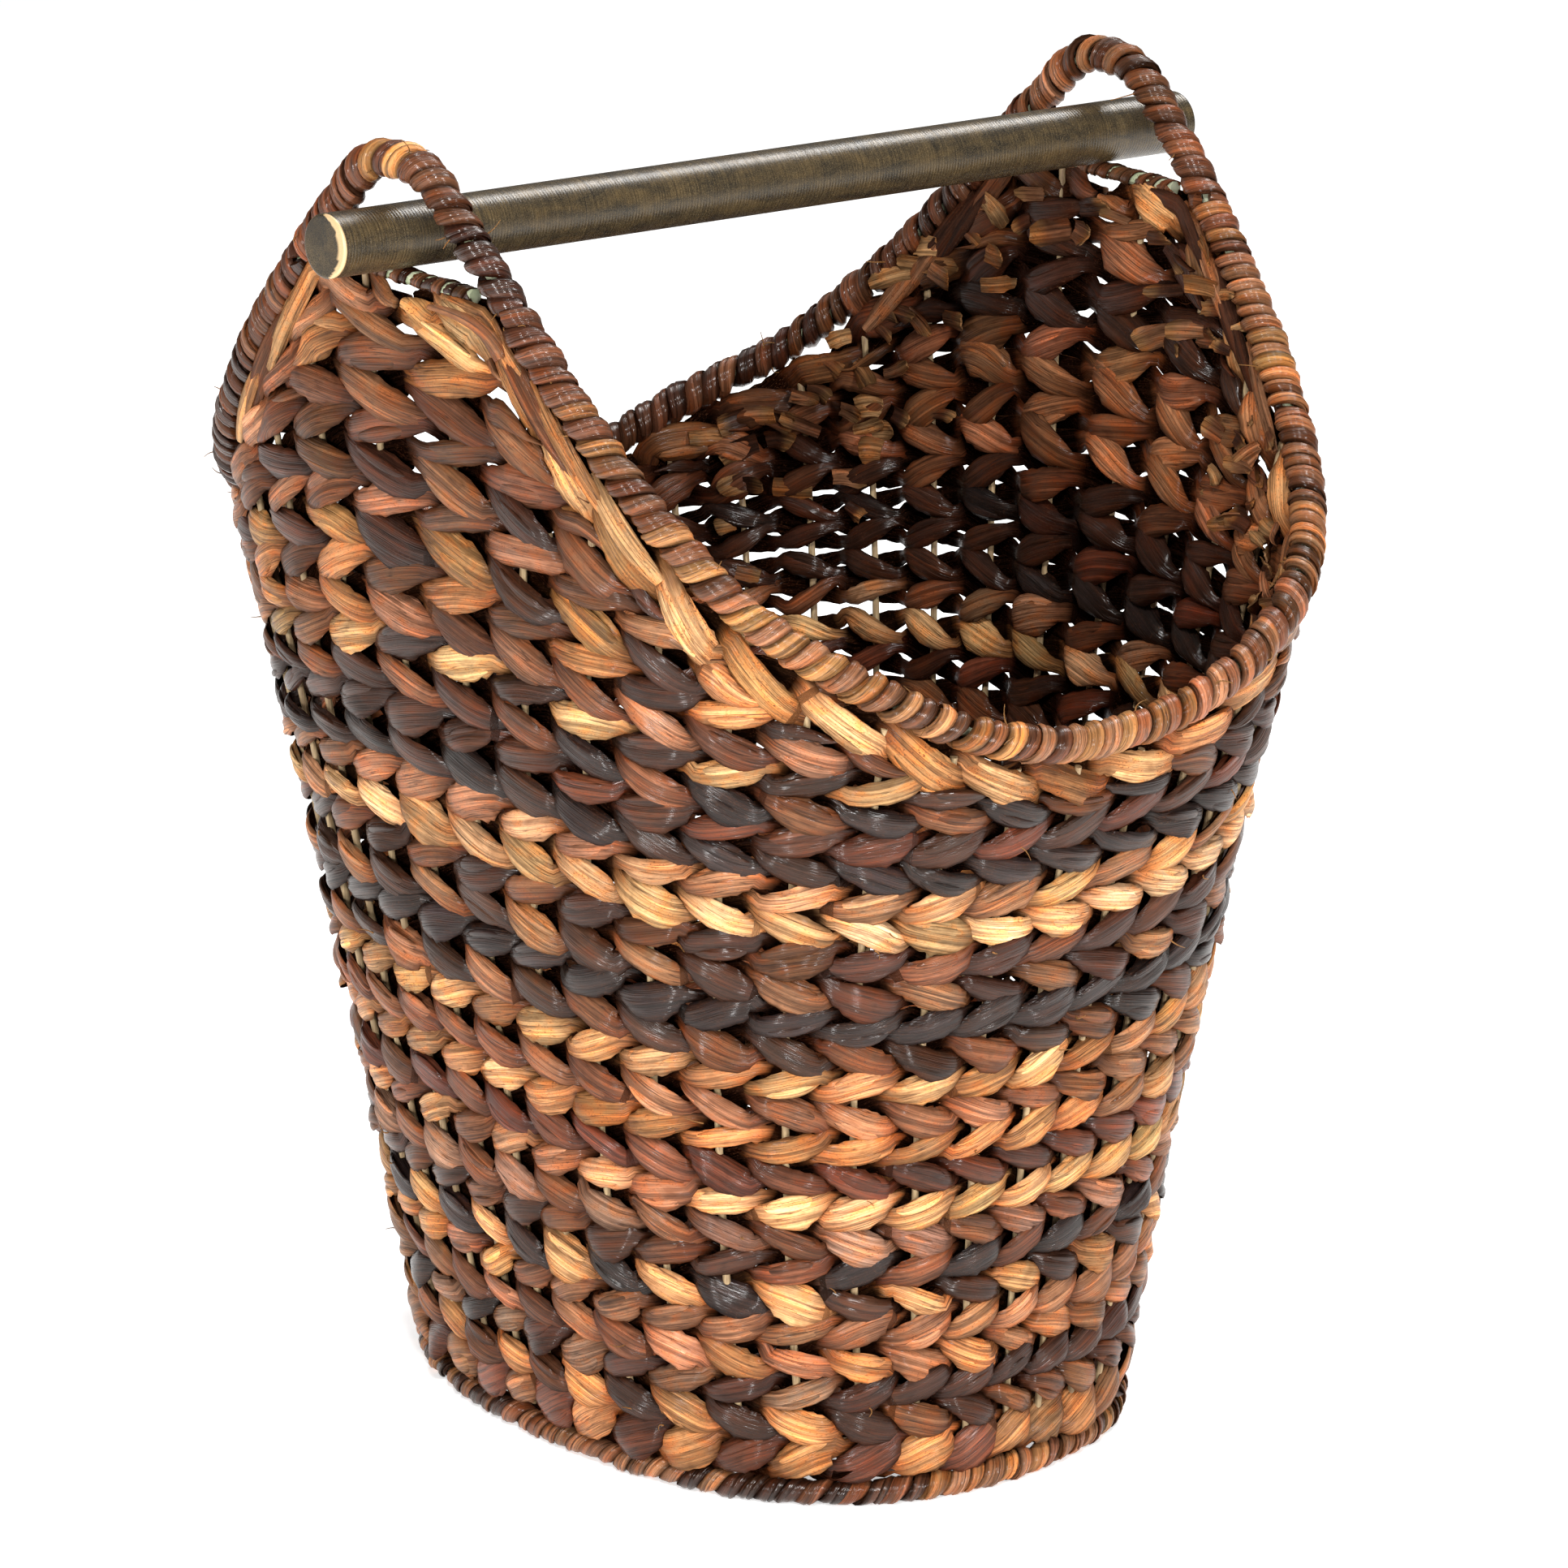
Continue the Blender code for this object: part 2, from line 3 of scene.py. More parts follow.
import bpy
import numpy as np
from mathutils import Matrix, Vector


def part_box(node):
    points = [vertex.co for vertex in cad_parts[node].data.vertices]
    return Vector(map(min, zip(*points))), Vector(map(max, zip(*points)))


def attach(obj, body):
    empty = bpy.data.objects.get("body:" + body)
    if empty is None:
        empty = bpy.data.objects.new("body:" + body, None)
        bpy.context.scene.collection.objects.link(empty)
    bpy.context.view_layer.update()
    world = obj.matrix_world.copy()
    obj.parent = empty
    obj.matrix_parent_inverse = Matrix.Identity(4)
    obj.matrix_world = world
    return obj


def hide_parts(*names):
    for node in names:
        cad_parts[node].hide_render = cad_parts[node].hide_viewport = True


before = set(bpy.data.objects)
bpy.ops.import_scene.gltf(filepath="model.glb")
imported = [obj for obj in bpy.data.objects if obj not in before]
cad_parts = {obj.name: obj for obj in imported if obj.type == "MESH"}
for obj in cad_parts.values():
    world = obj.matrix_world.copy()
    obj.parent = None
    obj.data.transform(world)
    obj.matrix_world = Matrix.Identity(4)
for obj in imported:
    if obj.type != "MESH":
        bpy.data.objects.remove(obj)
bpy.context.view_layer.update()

# ---------------- the wall, as the CAD has it (metres)
REF_HEIGHT = 0.400  # height at which the three terms of HALF_X and HALF_Y add up
HALF_X = (0.1180, 0.0870, -0.0273)  # half width: at the floor, slope and curve of the wall
HALF_Y = (0.1525, 0.0130, 0.0590)
SQUARENESS = (2.33, 2.82)  # exponent of the oval plan, at the floor and at REF_HEIGHT
# degrees round from an ear to a dip, and the height of the rim's middle there
RIM_PROFILE = np.array(((0, 0.535), (4, 0.510), (9, 0.4805), (16, 0.449), (26, 0.4155),
                        (40, 0.383), (58, 0.357), (76, 0.334), (90, 0.324)))
EAR_SKEW = 0.0078  # the -X ear stands this much higher, the +X ear this much lower
LOOP_HALF_SPAN = 0.062  # half the length in Y that each loop's own winding covers
STAKES = 40
WALL_BOTTOM = 0.012
FIRST_ROW_TOP = 0.031
LOWER_ROWS = 17.5  # rows with the lower pitch; the ones above have the upper pitch
LOWER_PITCH = (0.0147, 0.0133)  # at an ear and at a dip
UPPER_PITCH = (0.0146, 0.0123, 0.0130)  # at an ear, at the shoulder and at a dip
SHOULDER = 0.35  # share of the way from an ear to a dip
BORDER_NEAR_RIM = 0.0094
BORDER_FAR_RIM = 0.0218
BORDER_WIDTH = 0.0124
SILL_RADIUS = 0.0030
SILL_GAP = 0.0006  # between a sill wire and what ends below it
FOOT_RADIUS = 0.0055
FLOOR_ROD_X_HEIGHT = 0.0130
FLOOR_ROD_Y_HEIGHT = 0.0196
FLOOR_INSET = 0.009
STAKE_BEND = 0.006
BAR_RADIUS = 0.0125
BAR_HALF_LENGTH = 0.223
BAR_HEIGHT = 0.5048
BAR_TILT = 0.0107  # rise of the -X end and drop of the +X end
BAR_GAP = 0.0005  # between the bar and the sill wires

ROWS_PER_COURSE = 2
COURSES = 11
EAR_ROWS = 10
STEPS = 11  # sections along a leaf for each stake it passes
FLOOR_CLEARANCE = 0.0003  # no leaf comes closer to the ground
ANGLE_STEP = 0.012  # small steps for finding directions on the wall
HEIGHT_STEP = 0.002
RIM_STEP = 0.01

BODY = "basket"
BAR_BODY = "bar"


# ---------------- the wall's shape
def unit(v):
    return v / np.linalg.norm(v, axis=-1, keepdims=True)


def smooth(share):
    """0 below 0, 1 above 1 and an eased climb between."""
    share = np.clip(share, 0, 1)
    return share * share * (3 - 2 * share)


def arc_length(line):
    """Distance along a line of points, from the first point to each."""
    return np.concatenate([[0], np.cumsum(np.linalg.norm(np.diff(line, axis=0), axis=1))])


def heading(line):
    return unit(np.gradient(line, axis=0))


def square_to(direction, tangent):
    """The part of a direction that is square to the tangent."""
    return unit(direction - (direction * tangent).sum(-1, keepdims=True) * tangent)


def levelness(line):
    """1 where a line of points runs level, less where it climbs."""
    step = np.gradient(line, axis=0)
    return np.hypot(step[:, 0], step[:, 1]) / np.linalg.norm(step, axis=1)


def column(value, count):
    """A number, or one number for each section, as a column of sections."""
    return np.broadcast_to(np.asarray(value, float), count)[:, None]


def wall_plan(angle, z):
    """Plan of the middle of the wall: a squared oval that widens and changes with height."""
    s = z / REF_HEIGHT
    half_x = HALF_X[0] + HALF_X[1] * s + HALF_X[2] * s * s
    half_y = HALF_Y[0] + HALF_Y[1] * s + HALF_Y[2] * s * s
    power = 2 / (SQUARENESS[0] + (SQUARENESS[1] - SQUARENESS[0]) * np.clip(s, 0, 1))
    c, d = np.cos(angle), np.sin(angle)
    return half_x * np.sign(c) * np.abs(c) ** power, half_y * np.sign(d) * np.abs(d) ** power


def wall_point(angle, z):
    angle, z = np.broadcast_arrays(np.asarray(angle, float), np.asarray(z, float))
    x, y = wall_plan(angle, z)
    return np.stack([x, y, z], -1)


def wall_out(angle, z):
    """Direction out of the basket, square to the sloping wall."""
    along = wall_point(angle + ANGLE_STEP, z) - wall_point(angle - ANGLE_STEP, z)
    up = wall_point(angle, z + HEIGHT_STEP) - wall_point(angle, z - HEIGHT_STEP)
    return unit(np.cross(along, up))


def rim_height(angle):
    """Height of the rim's middle: a curve through RIM_PROFILE that never overshoots it."""
    folded = np.degrees(np.arctan2(np.abs(np.sin(angle)), np.abs(np.cos(angle))))
    xs, zs = RIM_PROFILE[:, 0], RIM_PROFILE[:, 1]
    secant = np.diff(zs) / np.diff(xs)
    slope = np.concatenate([[0.0], 2 / (1 / secant[:-1] + 1 / secant[1:]), [0.0]])
    i = np.clip(np.searchsorted(xs, folded, side="right") - 1, 0, len(xs) - 2)
    h = xs[i + 1] - xs[i]
    t = (folded - xs[i]) / h
    z = (zs[i] * (1 + 2 * t) * (1 - t) ** 2 + zs[i + 1] * t * t * (3 - 2 * t)
         + h * slope[i] * t * (1 - t) ** 2 - h * slope[i + 1] * t * t * (1 - t))
    c = np.cos(angle)
    return z - EAR_SKEW * c * np.abs(c)


def rim_point(angle):
    return wall_point(angle, rim_height(angle))


def below_rim(angle, distance):
    """Height of the line that lies this distance from the rim, measured square to it."""
    a, b = rim_point(angle - RIM_STEP), rim_point(angle + RIM_STEP)
    slope = (b - a)[..., 2] / np.hypot((b - a)[..., 0], (b - a)[..., 1])
    return rim_height(angle) - distance * np.sqrt(1 + slope * slope)


def bar_height(x):
    return BAR_HEIGHT - BAR_TILT * x / BAR_HALF_LENGTH


def sill_height(angle):
    """Height of the sill wire's middle on the ear that the angle is nearest to."""
    x = np.sign(np.cos(angle)) * wall_plan(np.zeros(1), np.full(1, BAR_HEIGHT))[0][0]
    return bar_height(x) - BAR_RADIUS - BAR_GAP - SILL_RADIUS


def row_edge(row, angle):
    """Height of the edge above that many rows: rows sag from an ear to a dip."""
    if row <= 0:
        return np.full(np.shape(angle), WALL_BOTTOM)
    folded = np.arctan2(np.abs(np.sin(angle)), np.abs(np.cos(angle))) / (np.pi / 2)
    low = LOWER_PITCH[0] + (LOWER_PITCH[1] - LOWER_PITCH[0]) * smooth(folded)
    high = (UPPER_PITCH[0] + (UPPER_PITCH[1] - UPPER_PITCH[0]) * smooth(folded / SHOULDER)
            + (UPPER_PITCH[2] - UPPER_PITCH[1]) * smooth((folded - SHOULDER) / (1 - SHOULDER)))
    return FIRST_ROW_TOP - low + low * min(row, LOWER_ROWS) + high * max(row - LOWER_ROWS, 0)


def border_edges(angle):
    """Lower and upper edge of the row of long leaves under the rim."""
    level = sill_height(angle) - SILL_RADIUS - SILL_GAP
    high = np.minimum(below_rim(angle, BORDER_NEAR_RIM), level)
    low = np.minimum(below_rim(angle, BORDER_FAR_RIM), level - BORDER_WIDTH)
    return low, high


FINE = np.linspace(0, 2 * np.pi, 5761)
ARC = arc_length(wall_point(FINE, REF_HEIGHT / 2))


def angle_at(place):
    """Plan angle at a place counted in stakes; stake 0 stands just past the +X ear."""
    share = (np.asarray(place, float) + 0.5) / STAKES
    turns = np.floor(share)
    return np.interp((share - turns) * ARC[-1], ARC, FINE) + 2 * np.pi * turns


# ---------------- leaves
# leaf colours from nearly black to pale; a word such as "bmo" lists what a strand is made of
PALETTE = {
    "k": (0.013, 0.008, 0.008), "d": (0.040, 0.015, 0.008), "b": (0.125, 0.050, 0.024),
    "r": (0.100, 0.030, 0.015), "m": (0.260, 0.120, 0.060), "o": (0.370, 0.170, 0.066),
    "g": (0.240, 0.135, 0.085), "t": (0.500, 0.280, 0.125), "p": (0.600, 0.380, 0.190),
}
ROW_LEAVES = (  # the two strands of each row, from the foot up
    ("rrm", "rmo"), ("bbd", "ob"), ("dkb", "dkg"), ("mbo", "bm"), ("om", "tmo"), ("kkd", "tto"),
    ("kdk", "bmm"), ("gmb", "gb"), ("tpt", "otm"), ("rdr", "rbd"), ("tom", "mo"), ("mbm", "bm"),
    ("bto", "btm"), ("mob", "kod"), ("kkd", "kdk"), ("bdb", "mdb"), ("drd", "dbr"), ("ptp", "tpt"),
    ("gmb", "mgt"), ("kdd", "dkd"), ("rrd", "rdd"), ("dkd", "dbd"), ("ddk", "dbk"), ("mb", "bmg"),
    ("tmo", "omb"), ("bmb", "bd"), ("kdk", "dkd"), ("kdd", "kkd"), ("dbr", "drb"), ("drb", "bdm"),
    ("bdr", "dmb"), ("mot", "omb"),
)
GLOSS = {"k": 1.0, "d": 0.9, "r": 0.8, "b": 0.6, "m": 0.5, "o": 0.45, "g": 0.35, "t": 0.3,
         "p": 0.25}
LAST_MARK = 400  # marks that set leaves apart in the material run up to this

# a leaf's section: -1 to 1 across its face, then back across its underside
TOP = np.sin(np.linspace(-1, 1, 13) * np.pi / 2)
ACROSS = np.concatenate([TOP, TOP[1:-1][::-1]])
ON_TOP = np.arange(len(ACROSS)) < len(TOP)
SHAPE = np.where(ON_TOP, 1, -1) * (1 - np.abs(ACROSS) ** 4.5)  # flat, with rounded edges
BEAD = np.where(ON_TOP, 1, -1) * (1 - np.abs(ACROSS) ** 2.4)  # rounded right across
WAVES = 5  # folds that add up on one leaf
FOLD_WIDTH = 0.004  # leaves with a smaller half width are folded less


def placed(name, data):
    """A new object in the scene."""
    made = bpy.data.objects.new(name, data)
    bpy.context.scene.collection.objects.link(made)
    return made


class Store:
    """Collects leaves for one mesh, with their colour and leaf coordinates."""

    def __init__(self):
        self.verts, self.quads, self.tint, self.leaf = [], [], [], []
        self.count = 0

    def add(self, verts, tint, leaf, closed):
        """Sections of points, one after another; an open row of sections gets two end caps."""
        n, m = verts.shape[:2]
        i = np.arange(n if closed else n - 1)[:, None]
        k = np.arange(m)[None]
        j, l = (i + 1) % n, (k + 1) % m
        quads = np.stack([i * m + k, j * m + k, j * m + l, i * m + l], -1).reshape(-1, 4)
        if not closed:
            c = np.arange(m // 2 - 1)
            cap = np.stack([c, c + 1, m - 2 - c, m - 1 - c], -1)
            quads = np.vstack([quads, cap, (cap + (n - 1) * m)[:, ::-1]])
        self.verts.append(verts.reshape(-1, 3))
        self.tint.append(np.broadcast_to(tint, (n, m, 4)).reshape(-1, 4))
        self.leaf.append(leaf.reshape(-1, 3))
        self.quads.append(quads + self.count)
        self.count += n * m

    def build(self, name, mat, slot, nodes=(), body=BODY, sharp=52):
        """One mesh object that rides on a body and stands for the CAD nodes."""
        verts, quads = np.vstack(self.verts), np.vstack(self.quads)
        mesh = bpy.data.meshes.new(name)
        mesh.vertices.add(len(verts))
        mesh.vertices.foreach_set("co", verts.astype(np.float32).ravel())
        mesh.loops.add(quads.size)
        mesh.loops.foreach_set("vertex_index", quads.astype(np.int32).ravel())
        mesh.polygons.add(len(quads))
        mesh.polygons.foreach_set("loop_start", np.arange(0, quads.size, 4, dtype=np.int32))
        mesh.update(calc_edges=True)
        mesh.validate()
        mesh.shade_smooth()
        mesh.set_sharp_from_angle(angle=math.radians(sharp))
        for layer, kind, field, rows in (("tint", "FLOAT_COLOR", "color", self.tint),
                                         ("leaf", "FLOAT_VECTOR", "vector", self.leaf)):
            data = mesh.attributes.new(layer, kind, "POINT").data
            data.foreach_set(field, np.vstack(rows).astype(np.float32).ravel())
        mesh.materials.append(mat)
        made = placed(name, mesh)
        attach(made, body)
        if nodes:
            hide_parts(*nodes)


def ripple(rng, along, size):
    """Folds that run along a leaf, sharp at the crest, as a height at each point of its face."""
    total = np.zeros((len(along), len(ACROSS)))
    for _ in range(WAVES):
        over = rng.uniform(2.0, 9.0)
        drift = rng.uniform(-60, 60)
        phase = over * ACROSS[None] + drift * along[:, None] + rng.uniform(0, 6.28)
        total += rng.uniform(0.4, 1.0) * (1.2 - 2.4 * np.abs(np.sin(phase / 2)))
    return total * size / math.sqrt(WAVES) * (1 - ACROSS ** 4)


def lay_leaf(store, rng, path, out, half, crown, tint, mark, roll=0.0, cup=0.2, closed=False,
             fold=0.0003, low=1.0, high=1.0, shade=1.0, shape=SHAPE, dull=1.0, rim=0.25):
    """One leaf along a path; out is the way its face looks, mark tells leaves apart.

    half, low and high are its half width and the shares of it below and above the path. crown
    bulges the face and cup drops the edges. shade multiplies the colour with painted shade and
    painted highlight, dull takes gloss, and rim paints shade along the edges and dulls them.
    """
    count = len(path)
    if closed:
        ahead, behind = np.roll(path, -1, 0), np.roll(path, 1, 0)
    else:
        ahead, behind = np.vstack([path[1:], path[-1:]]), np.vstack([path[:1], path[:-1]])
    t = unit(ahead - behind)
    face = square_to(out, t)
    side = np.cross(face, t)
    roll = np.broadcast_to(np.asarray(roll, float), count)
    c, s = np.cos(roll)[:, None], np.sin(roll)[:, None]
    side, face = side * c + face * s, face * c - side * s
    half, crown, low, high = (column(value, count) for value in (half, crown, low, high))
    y = half * ACROSS[None] * np.where(ACROSS[None] < 0, low, high)
    along = arc_length(path)
    lift = crown * shape[None] - cup * half * ACROSS[None] ** 2
    lift = lift + ripple(rng, along, fold) * np.minimum(1, half / FOLD_WIDTH)
    verts = path[:, None] + y[..., None] * side[:, None] + lift[..., None] * face[:, None]
    verts[..., 2] = np.maximum(verts[..., 2], FLOOR_CLEARANCE)
    leaf = np.empty(verts.shape)
    leaf[..., 0] = along[:, None]
    leaf[..., 1] = y
    leaf[..., 2] = column(mark, count)
    # painted shade along both edges of a leaf, strongest on the rounded beads of the wound hoops
    edge = 1 - rim * np.abs(ACROSS) ** (3 if shape is BEAD else 5)
    tint = np.broadcast_to(tint, (count, 4))[:, None] * np.ones((1, len(ACROSS), 1))
    tint[..., :3] *= edge[None, :, None] * shade
    tint[..., 3] *= edge ** 2 * dull
    store.add(verts, tint, leaf, closed)


def leaf_runs(rng, letters, count, shortest=6, longest=17):
    """Colour and gloss of each of a strand's stitches: one leaf lasts several."""
    tint = np.empty((count, 4))
    mark = np.empty(count)
    i = 0
    while i < count:
        run = int(rng.integers(shortest, longest))
        letter = letters[int(rng.integers(len(letters)))]
        base = np.array(PALETTE[letter])
        base = base * rng.uniform(0.80, 1.20) * (1 + rng.uniform(-0.06, 0.06, 3))
        tint[i:i + run] = (*base, GLOSS[letter])
        mark[i:i + run] = rng.uniform(0, LAST_MARK)
        i += run
    tint[:, :3] *= rng.uniform(0.62, 1.38, (count, 1)) * rng.uniform(0.96, 1.04, (count, 3))
    return tint, mark


OVER = 0.0039  # how far a leaf swings out from the middle of the wall
CLIMB = 0.0047  # how far it climbs or drops on the way
CARRY = math.radians(112)  # it climbs this long each side of a stake, then drops behind the next
REACH_ON = 0.26  # the outside stitches are this much longer than the inside ones
PLATEAU = 1.16  # 1 keeps a leaf at full swing all the way; more rounds it off
INNER_TONE = np.array([0.86, 0.78, 0.72])
LAG = 0.22  # the end of each stitch lies over the start of the next
CROSS_WIDTH = 0.38  # share of the row that a leaf fills where two cross
FULL_WIDTH = 0.96
FRAY = 0.045  # unevenness of the edges
LEAN_IN = 0.15  # upper edges tuck in under the row above
TAPER = 0.76  # below 1 a stitch keeps its width longer on the way to a crossing
LATE_WIDTH = 0.07  # a stitch is this much wider in its second half
WINDOW_EASE = 0.004
CLIMB_EASE = 0.25  # share of the climb that is eased; the rest is straight
CLIMB_REACH = 0.0068  # half height of a row that climbs by CLIMB
LOW_BULGE = 0.05  # lower edges hang out by this share
CROWN = (0.0012, 0.0005)  # bulge of a leaf at a crossing, and what it gains away from one
# painted shade and painted highlight that stitch_shade multiplies into each stitch's colour
DEEPEST = 0.03  # brightness where a strand dives behind its neighbour
SHADOW_REACH = 0.72
SHADED_END_TONE = np.array([0.55, 0.42, 0.35])
PAINTED_HIGHLIGHT_TONE = np.array([0.72, 0.84, 0.90])
# how much stitches differ in width, rise, swing, roll, lower edge, upper edge, taper and steepness
STITCH_VARIES = np.array([0.10, 0.0009, 0.0006, np.radians(12), 0.13, 0.12, 0.12, 0.20])
LAYERED = 0.60  # share of stitches that show a second leaf
LAYER_MARK = 31.7  # sets a second leaf's pattern apart from the one under it


def stitch_shape(theta):
    """A stitch's raw swing, how far it is from a crossing (0 to 1) and its swing with a plateau."""
    cosine = np.cos(theta - LAG) + REACH_ON
    cosine = cosine / np.where(cosine > 0, 1 + REACH_ON, 1 - REACH_ON)
    window = (cosine ** 2 + WINDOW_EASE) ** 0.5
    return cosine, window, PLATEAU * cosine / np.sqrt(cosine ** 2 + PLATEAU ** 2 - 1)


def climb_share(theta):
    """-1 to 1 while a strand passes a stake outside, and back while it is behind the next."""
    turned = (theta + np.pi) % (2 * np.pi) - np.pi
    outward = np.abs(turned) < CARRY
    climb = np.where(outward, turned / CARRY,
                     np.sign(turned) * (np.pi - np.abs(turned)) / (np.pi - CARRY))
    return CLIMB_EASE * np.sin(theta) + (1 - CLIMB_EASE) * climb


def stitch_shade(swing, window):
    """Gloss and colour factors: painted shade, with less gloss, where a leaf dives behind its
    neighbour, a painted highlight mid-stitch on its outer face, and a darker side that faces in.
    """
    seen = np.where(ON_TOP[None], swing[:, None], -swing[:, None])
    crevice_shade = DEEPEST + (1 - DEEPEST) * smooth((seen + SHADOW_REACH) / SHADOW_REACH)
    painted_light = (np.clip(seen, 0, 1) * window[:, None] ** 0.8)[..., None]
    shade = crevice_shade[..., None] * (SHADED_END_TONE + PAINTED_HIGHLIGHT_TONE * painted_light)
    return crevice_shade ** 2, shade * np.where(ON_TOP[None, :, None], 1.0, INNER_TONE)


def twine(store, rng, place, centre, out, reach, lean, letters, closed, tight=None, tuck=0.0,
          cross=CROSS_WIDTH, swell=1.0):
    """Two strands of one row, each over one stake and behind the next."""
    t = unit(np.roll(centre, -1, 0) - np.roll(centre, 1, 0)) if closed else heading(centre)
    up = unit(np.cross(out, t))
    stitches = STAKES if closed else int(place[-1] - place[0]) + 4
    for first in (0, 1):
        theta = np.pi * (place - first)
        stitch = np.floor(place - first - LAG / np.pi + 0.5).astype(int)
        stitch = stitch % STAKES if closed else stitch - stitch.min()
        cosine, window, swing = stitch_shape(theta)
        late = np.sin(2 * (theta - LAG)) / 2
        table = rng.normal(0, 1, (stitches + 2, len(STITCH_VARIES))) * STITCH_VARIES
        wider, higher, further, rolled, low_by, high_by, taper, steeper = table[stitch].T
        tint, mark = leaf_runs(rng, letters[first], stitches + 2)
        wide = np.clip(1 + wider, 0.80, 1.20)
        if tight is not None:
            wide = wide * tight
        spread_out = window ** (TAPER + taper)
        half = reach * (cross + (FULL_WIDTH * wide - cross) * spread_out + LATE_WIDTH * late)
        rise = lean * CLIMB * (1 + steeper) * climb_share(theta) * reach / CLIMB_REACH
        rise = rise + higher * window
        push = OVER * swell * swing + further * window
        path = centre + rise[:, None] * up + (push - tuck)[:, None] * out
        roll = rolled * window - LEAN_IN * cosine
        frayed = 1 + FRAY * rng.normal(0, 1, (2, len(path)))
        low = (1 + (LOW_BULGE + low_by) * window) * frayed[0]
        high = (1 + high_by * window) * frayed[1]
        # dull and shade carry painted shade where the strand dives and a painted highlight
        # mid-stitch
        dull, shade = stitch_shade(swing, window)
        lay_leaf(store, rng, path, out, half, CROWN[0] + CROWN[1] * window,
                 soften(tint[stitch], closed), mark[stitch], roll=roll, cup=0.13 * swing[:, None],
                 closed=closed, low=low, high=high, shade=shade, fold=0.00030, dull=dull, rim=0.55)
        add_layers(store, rng, path, out, half, swing, stitch, tint, mark)


def soften(values, closed):
    """The same values, eased over a few sections where they change."""
    for _ in range(2):
        before = np.roll(values, 1, 0) if closed else np.vstack([values[:1], values[:-1]])
        after = np.roll(values, -1, 0) if closed else np.vstack([values[1:], values[-1:]])
        values = (before + values + after) / 3
    return values


def tapered(share, power):
    """Width of a strip that narrows towards both ends."""
    return np.sin(np.pi * (0.08 + 0.84 * share)) ** power


def toned(tint, factor):
    """The same colours, lighter or darker, with their gloss kept."""
    return tint * np.array([factor, factor, factor, 1.0])


def add_layers(store, rng, path, out, half, swing, stitch, tint, mark):
    """Second leaves that lie on some stitches, a little to one side."""
    up = unit(np.cross(out, heading(path)))
    starts = np.flatnonzero(np.diff(stitch, prepend=stitch[0] - 1) != 0)
    stops = np.append(starts[1:], len(stitch))
    for a, b in zip(starts, stops):
        chosen, side, size, offset, tone = rng.random(5)
        if chosen > LAYERED or b - a < STEPS - 2:
            continue
        i = np.arange(a + 1, b - 1)
        facing = np.sign(swing[(a + b) // 2])
        face = out[i] * facing
        sign = 1 if side > 0.5 else -1
        share = np.linspace(0, 1, len(i))
        wide = half[i] * (0.26 + 0.34 * size) * tapered(share, 0.6)
        shift = sign * half[i] * (0.25 + 0.40 * offset)
        height = 0.0015 * np.sin(np.pi * share) ** 0.5
        line = path[i] + up[i] * shift[:, None] + face * height[:, None]
        colour = toned(tint[stitch[i]], 0.60 + 0.95 * tone)
        # painted shade towards the crossings and a painted highlight mid-stitch; darker again where
        # the leaf faces in
        painted_light = (0.35 + 0.75 * np.clip(swing[i] * facing, 0, 1))[:, None, None]
        if facing < 0:
            painted_light = painted_light * INNER_TONE
        lay_leaf(store, rng, line, face, wide, 0.0006, colour, mark[stitch[i]] + LAYER_MARK,
                 shade=painted_light, roll=np.radians(rng.uniform(-9, 9)), cup=0.18, fold=0.0002, rim=0.5)


# ---------------- materials
def node(tree, kind, **values):
    made = tree.nodes.new(kind)
    for key, value in values.items():
        setattr(made, key, value)
    return made


def math_node(tree, operation, a, b=None):
    made = node(tree, "ShaderNodeMath", operation=operation)
    for i, value in enumerate((a, b)):
        if isinstance(value, (int, float)):
            made.inputs[i].default_value = value
        elif value is not None:
            tree.links.new(value, made.inputs[i])
    return made.outputs[0]


def total(tree, *parts):
    """Sum of outputs, each given with its weight."""
    weighted = [out if weight == 1 else math_node(tree, "MULTIPLY", out, weight)
                for out, weight in parts]
    result = weighted[0]
    for more in weighted[1:]:
        result = math_node(tree, "ADD", result, more)
    return result


def noise(tree, vector, scale, detail=2.0, roughness=0.5, distortion=0.0):
    """Noise with this many waves per metre along each axis of the vector."""
    stretched = node(tree, "ShaderNodeVectorMath", operation="MULTIPLY")
    tree.links.new(vector, stretched.inputs[0])
    stretched.inputs[1].default_value = scale
    made = node(tree, "ShaderNodeTexNoise")
    tree.links.new(stretched.outputs[0], made.inputs["Vector"])
    for socket, value in (("Scale", 1.0), ("Detail", detail), ("Roughness", roughness),
                          ("Distortion", distortion)):
        made.inputs[socket].default_value = value
    return made.outputs["Fac"]


def spread(tree, value, low, high, to_low=0.0, to_high=1.0):
    made = node(tree, "ShaderNodeMapRange")
    tree.links.new(value, made.inputs["Value"])
    for socket, limit in (("From Min", low), ("From Max", high), ("To Min", to_low),
                          ("To Max", to_high)):
        made.inputs[socket].default_value = limit
    return made.outputs["Result"]


def mixed(tree, share, a, b, blend="MIX"):
    made = node(tree, "ShaderNodeMix", data_type="RGBA", blend_type=blend)
    for index, value in ((0, share), (6, a), (7, b)):
        if isinstance(value, (int, float)):
            made.inputs[index].default_value = value
        elif isinstance(value, tuple):
            made.inputs[index].default_value = (*value, 1)
        else:
            tree.links.new(value, made.inputs[index])
    return made.outputs[2]


def attribute(tree, name):
    return node(tree, "ShaderNodeAttribute", attribute_name=name)


def object_place(tree):
    return node(tree, "ShaderNodeTexCoord").outputs["Object"]


def new_material(name):
    made = bpy.data.materials.new(name)
    made.use_nodes = True
    return made, made.node_tree, made.node_tree.nodes["Principled BSDF"]


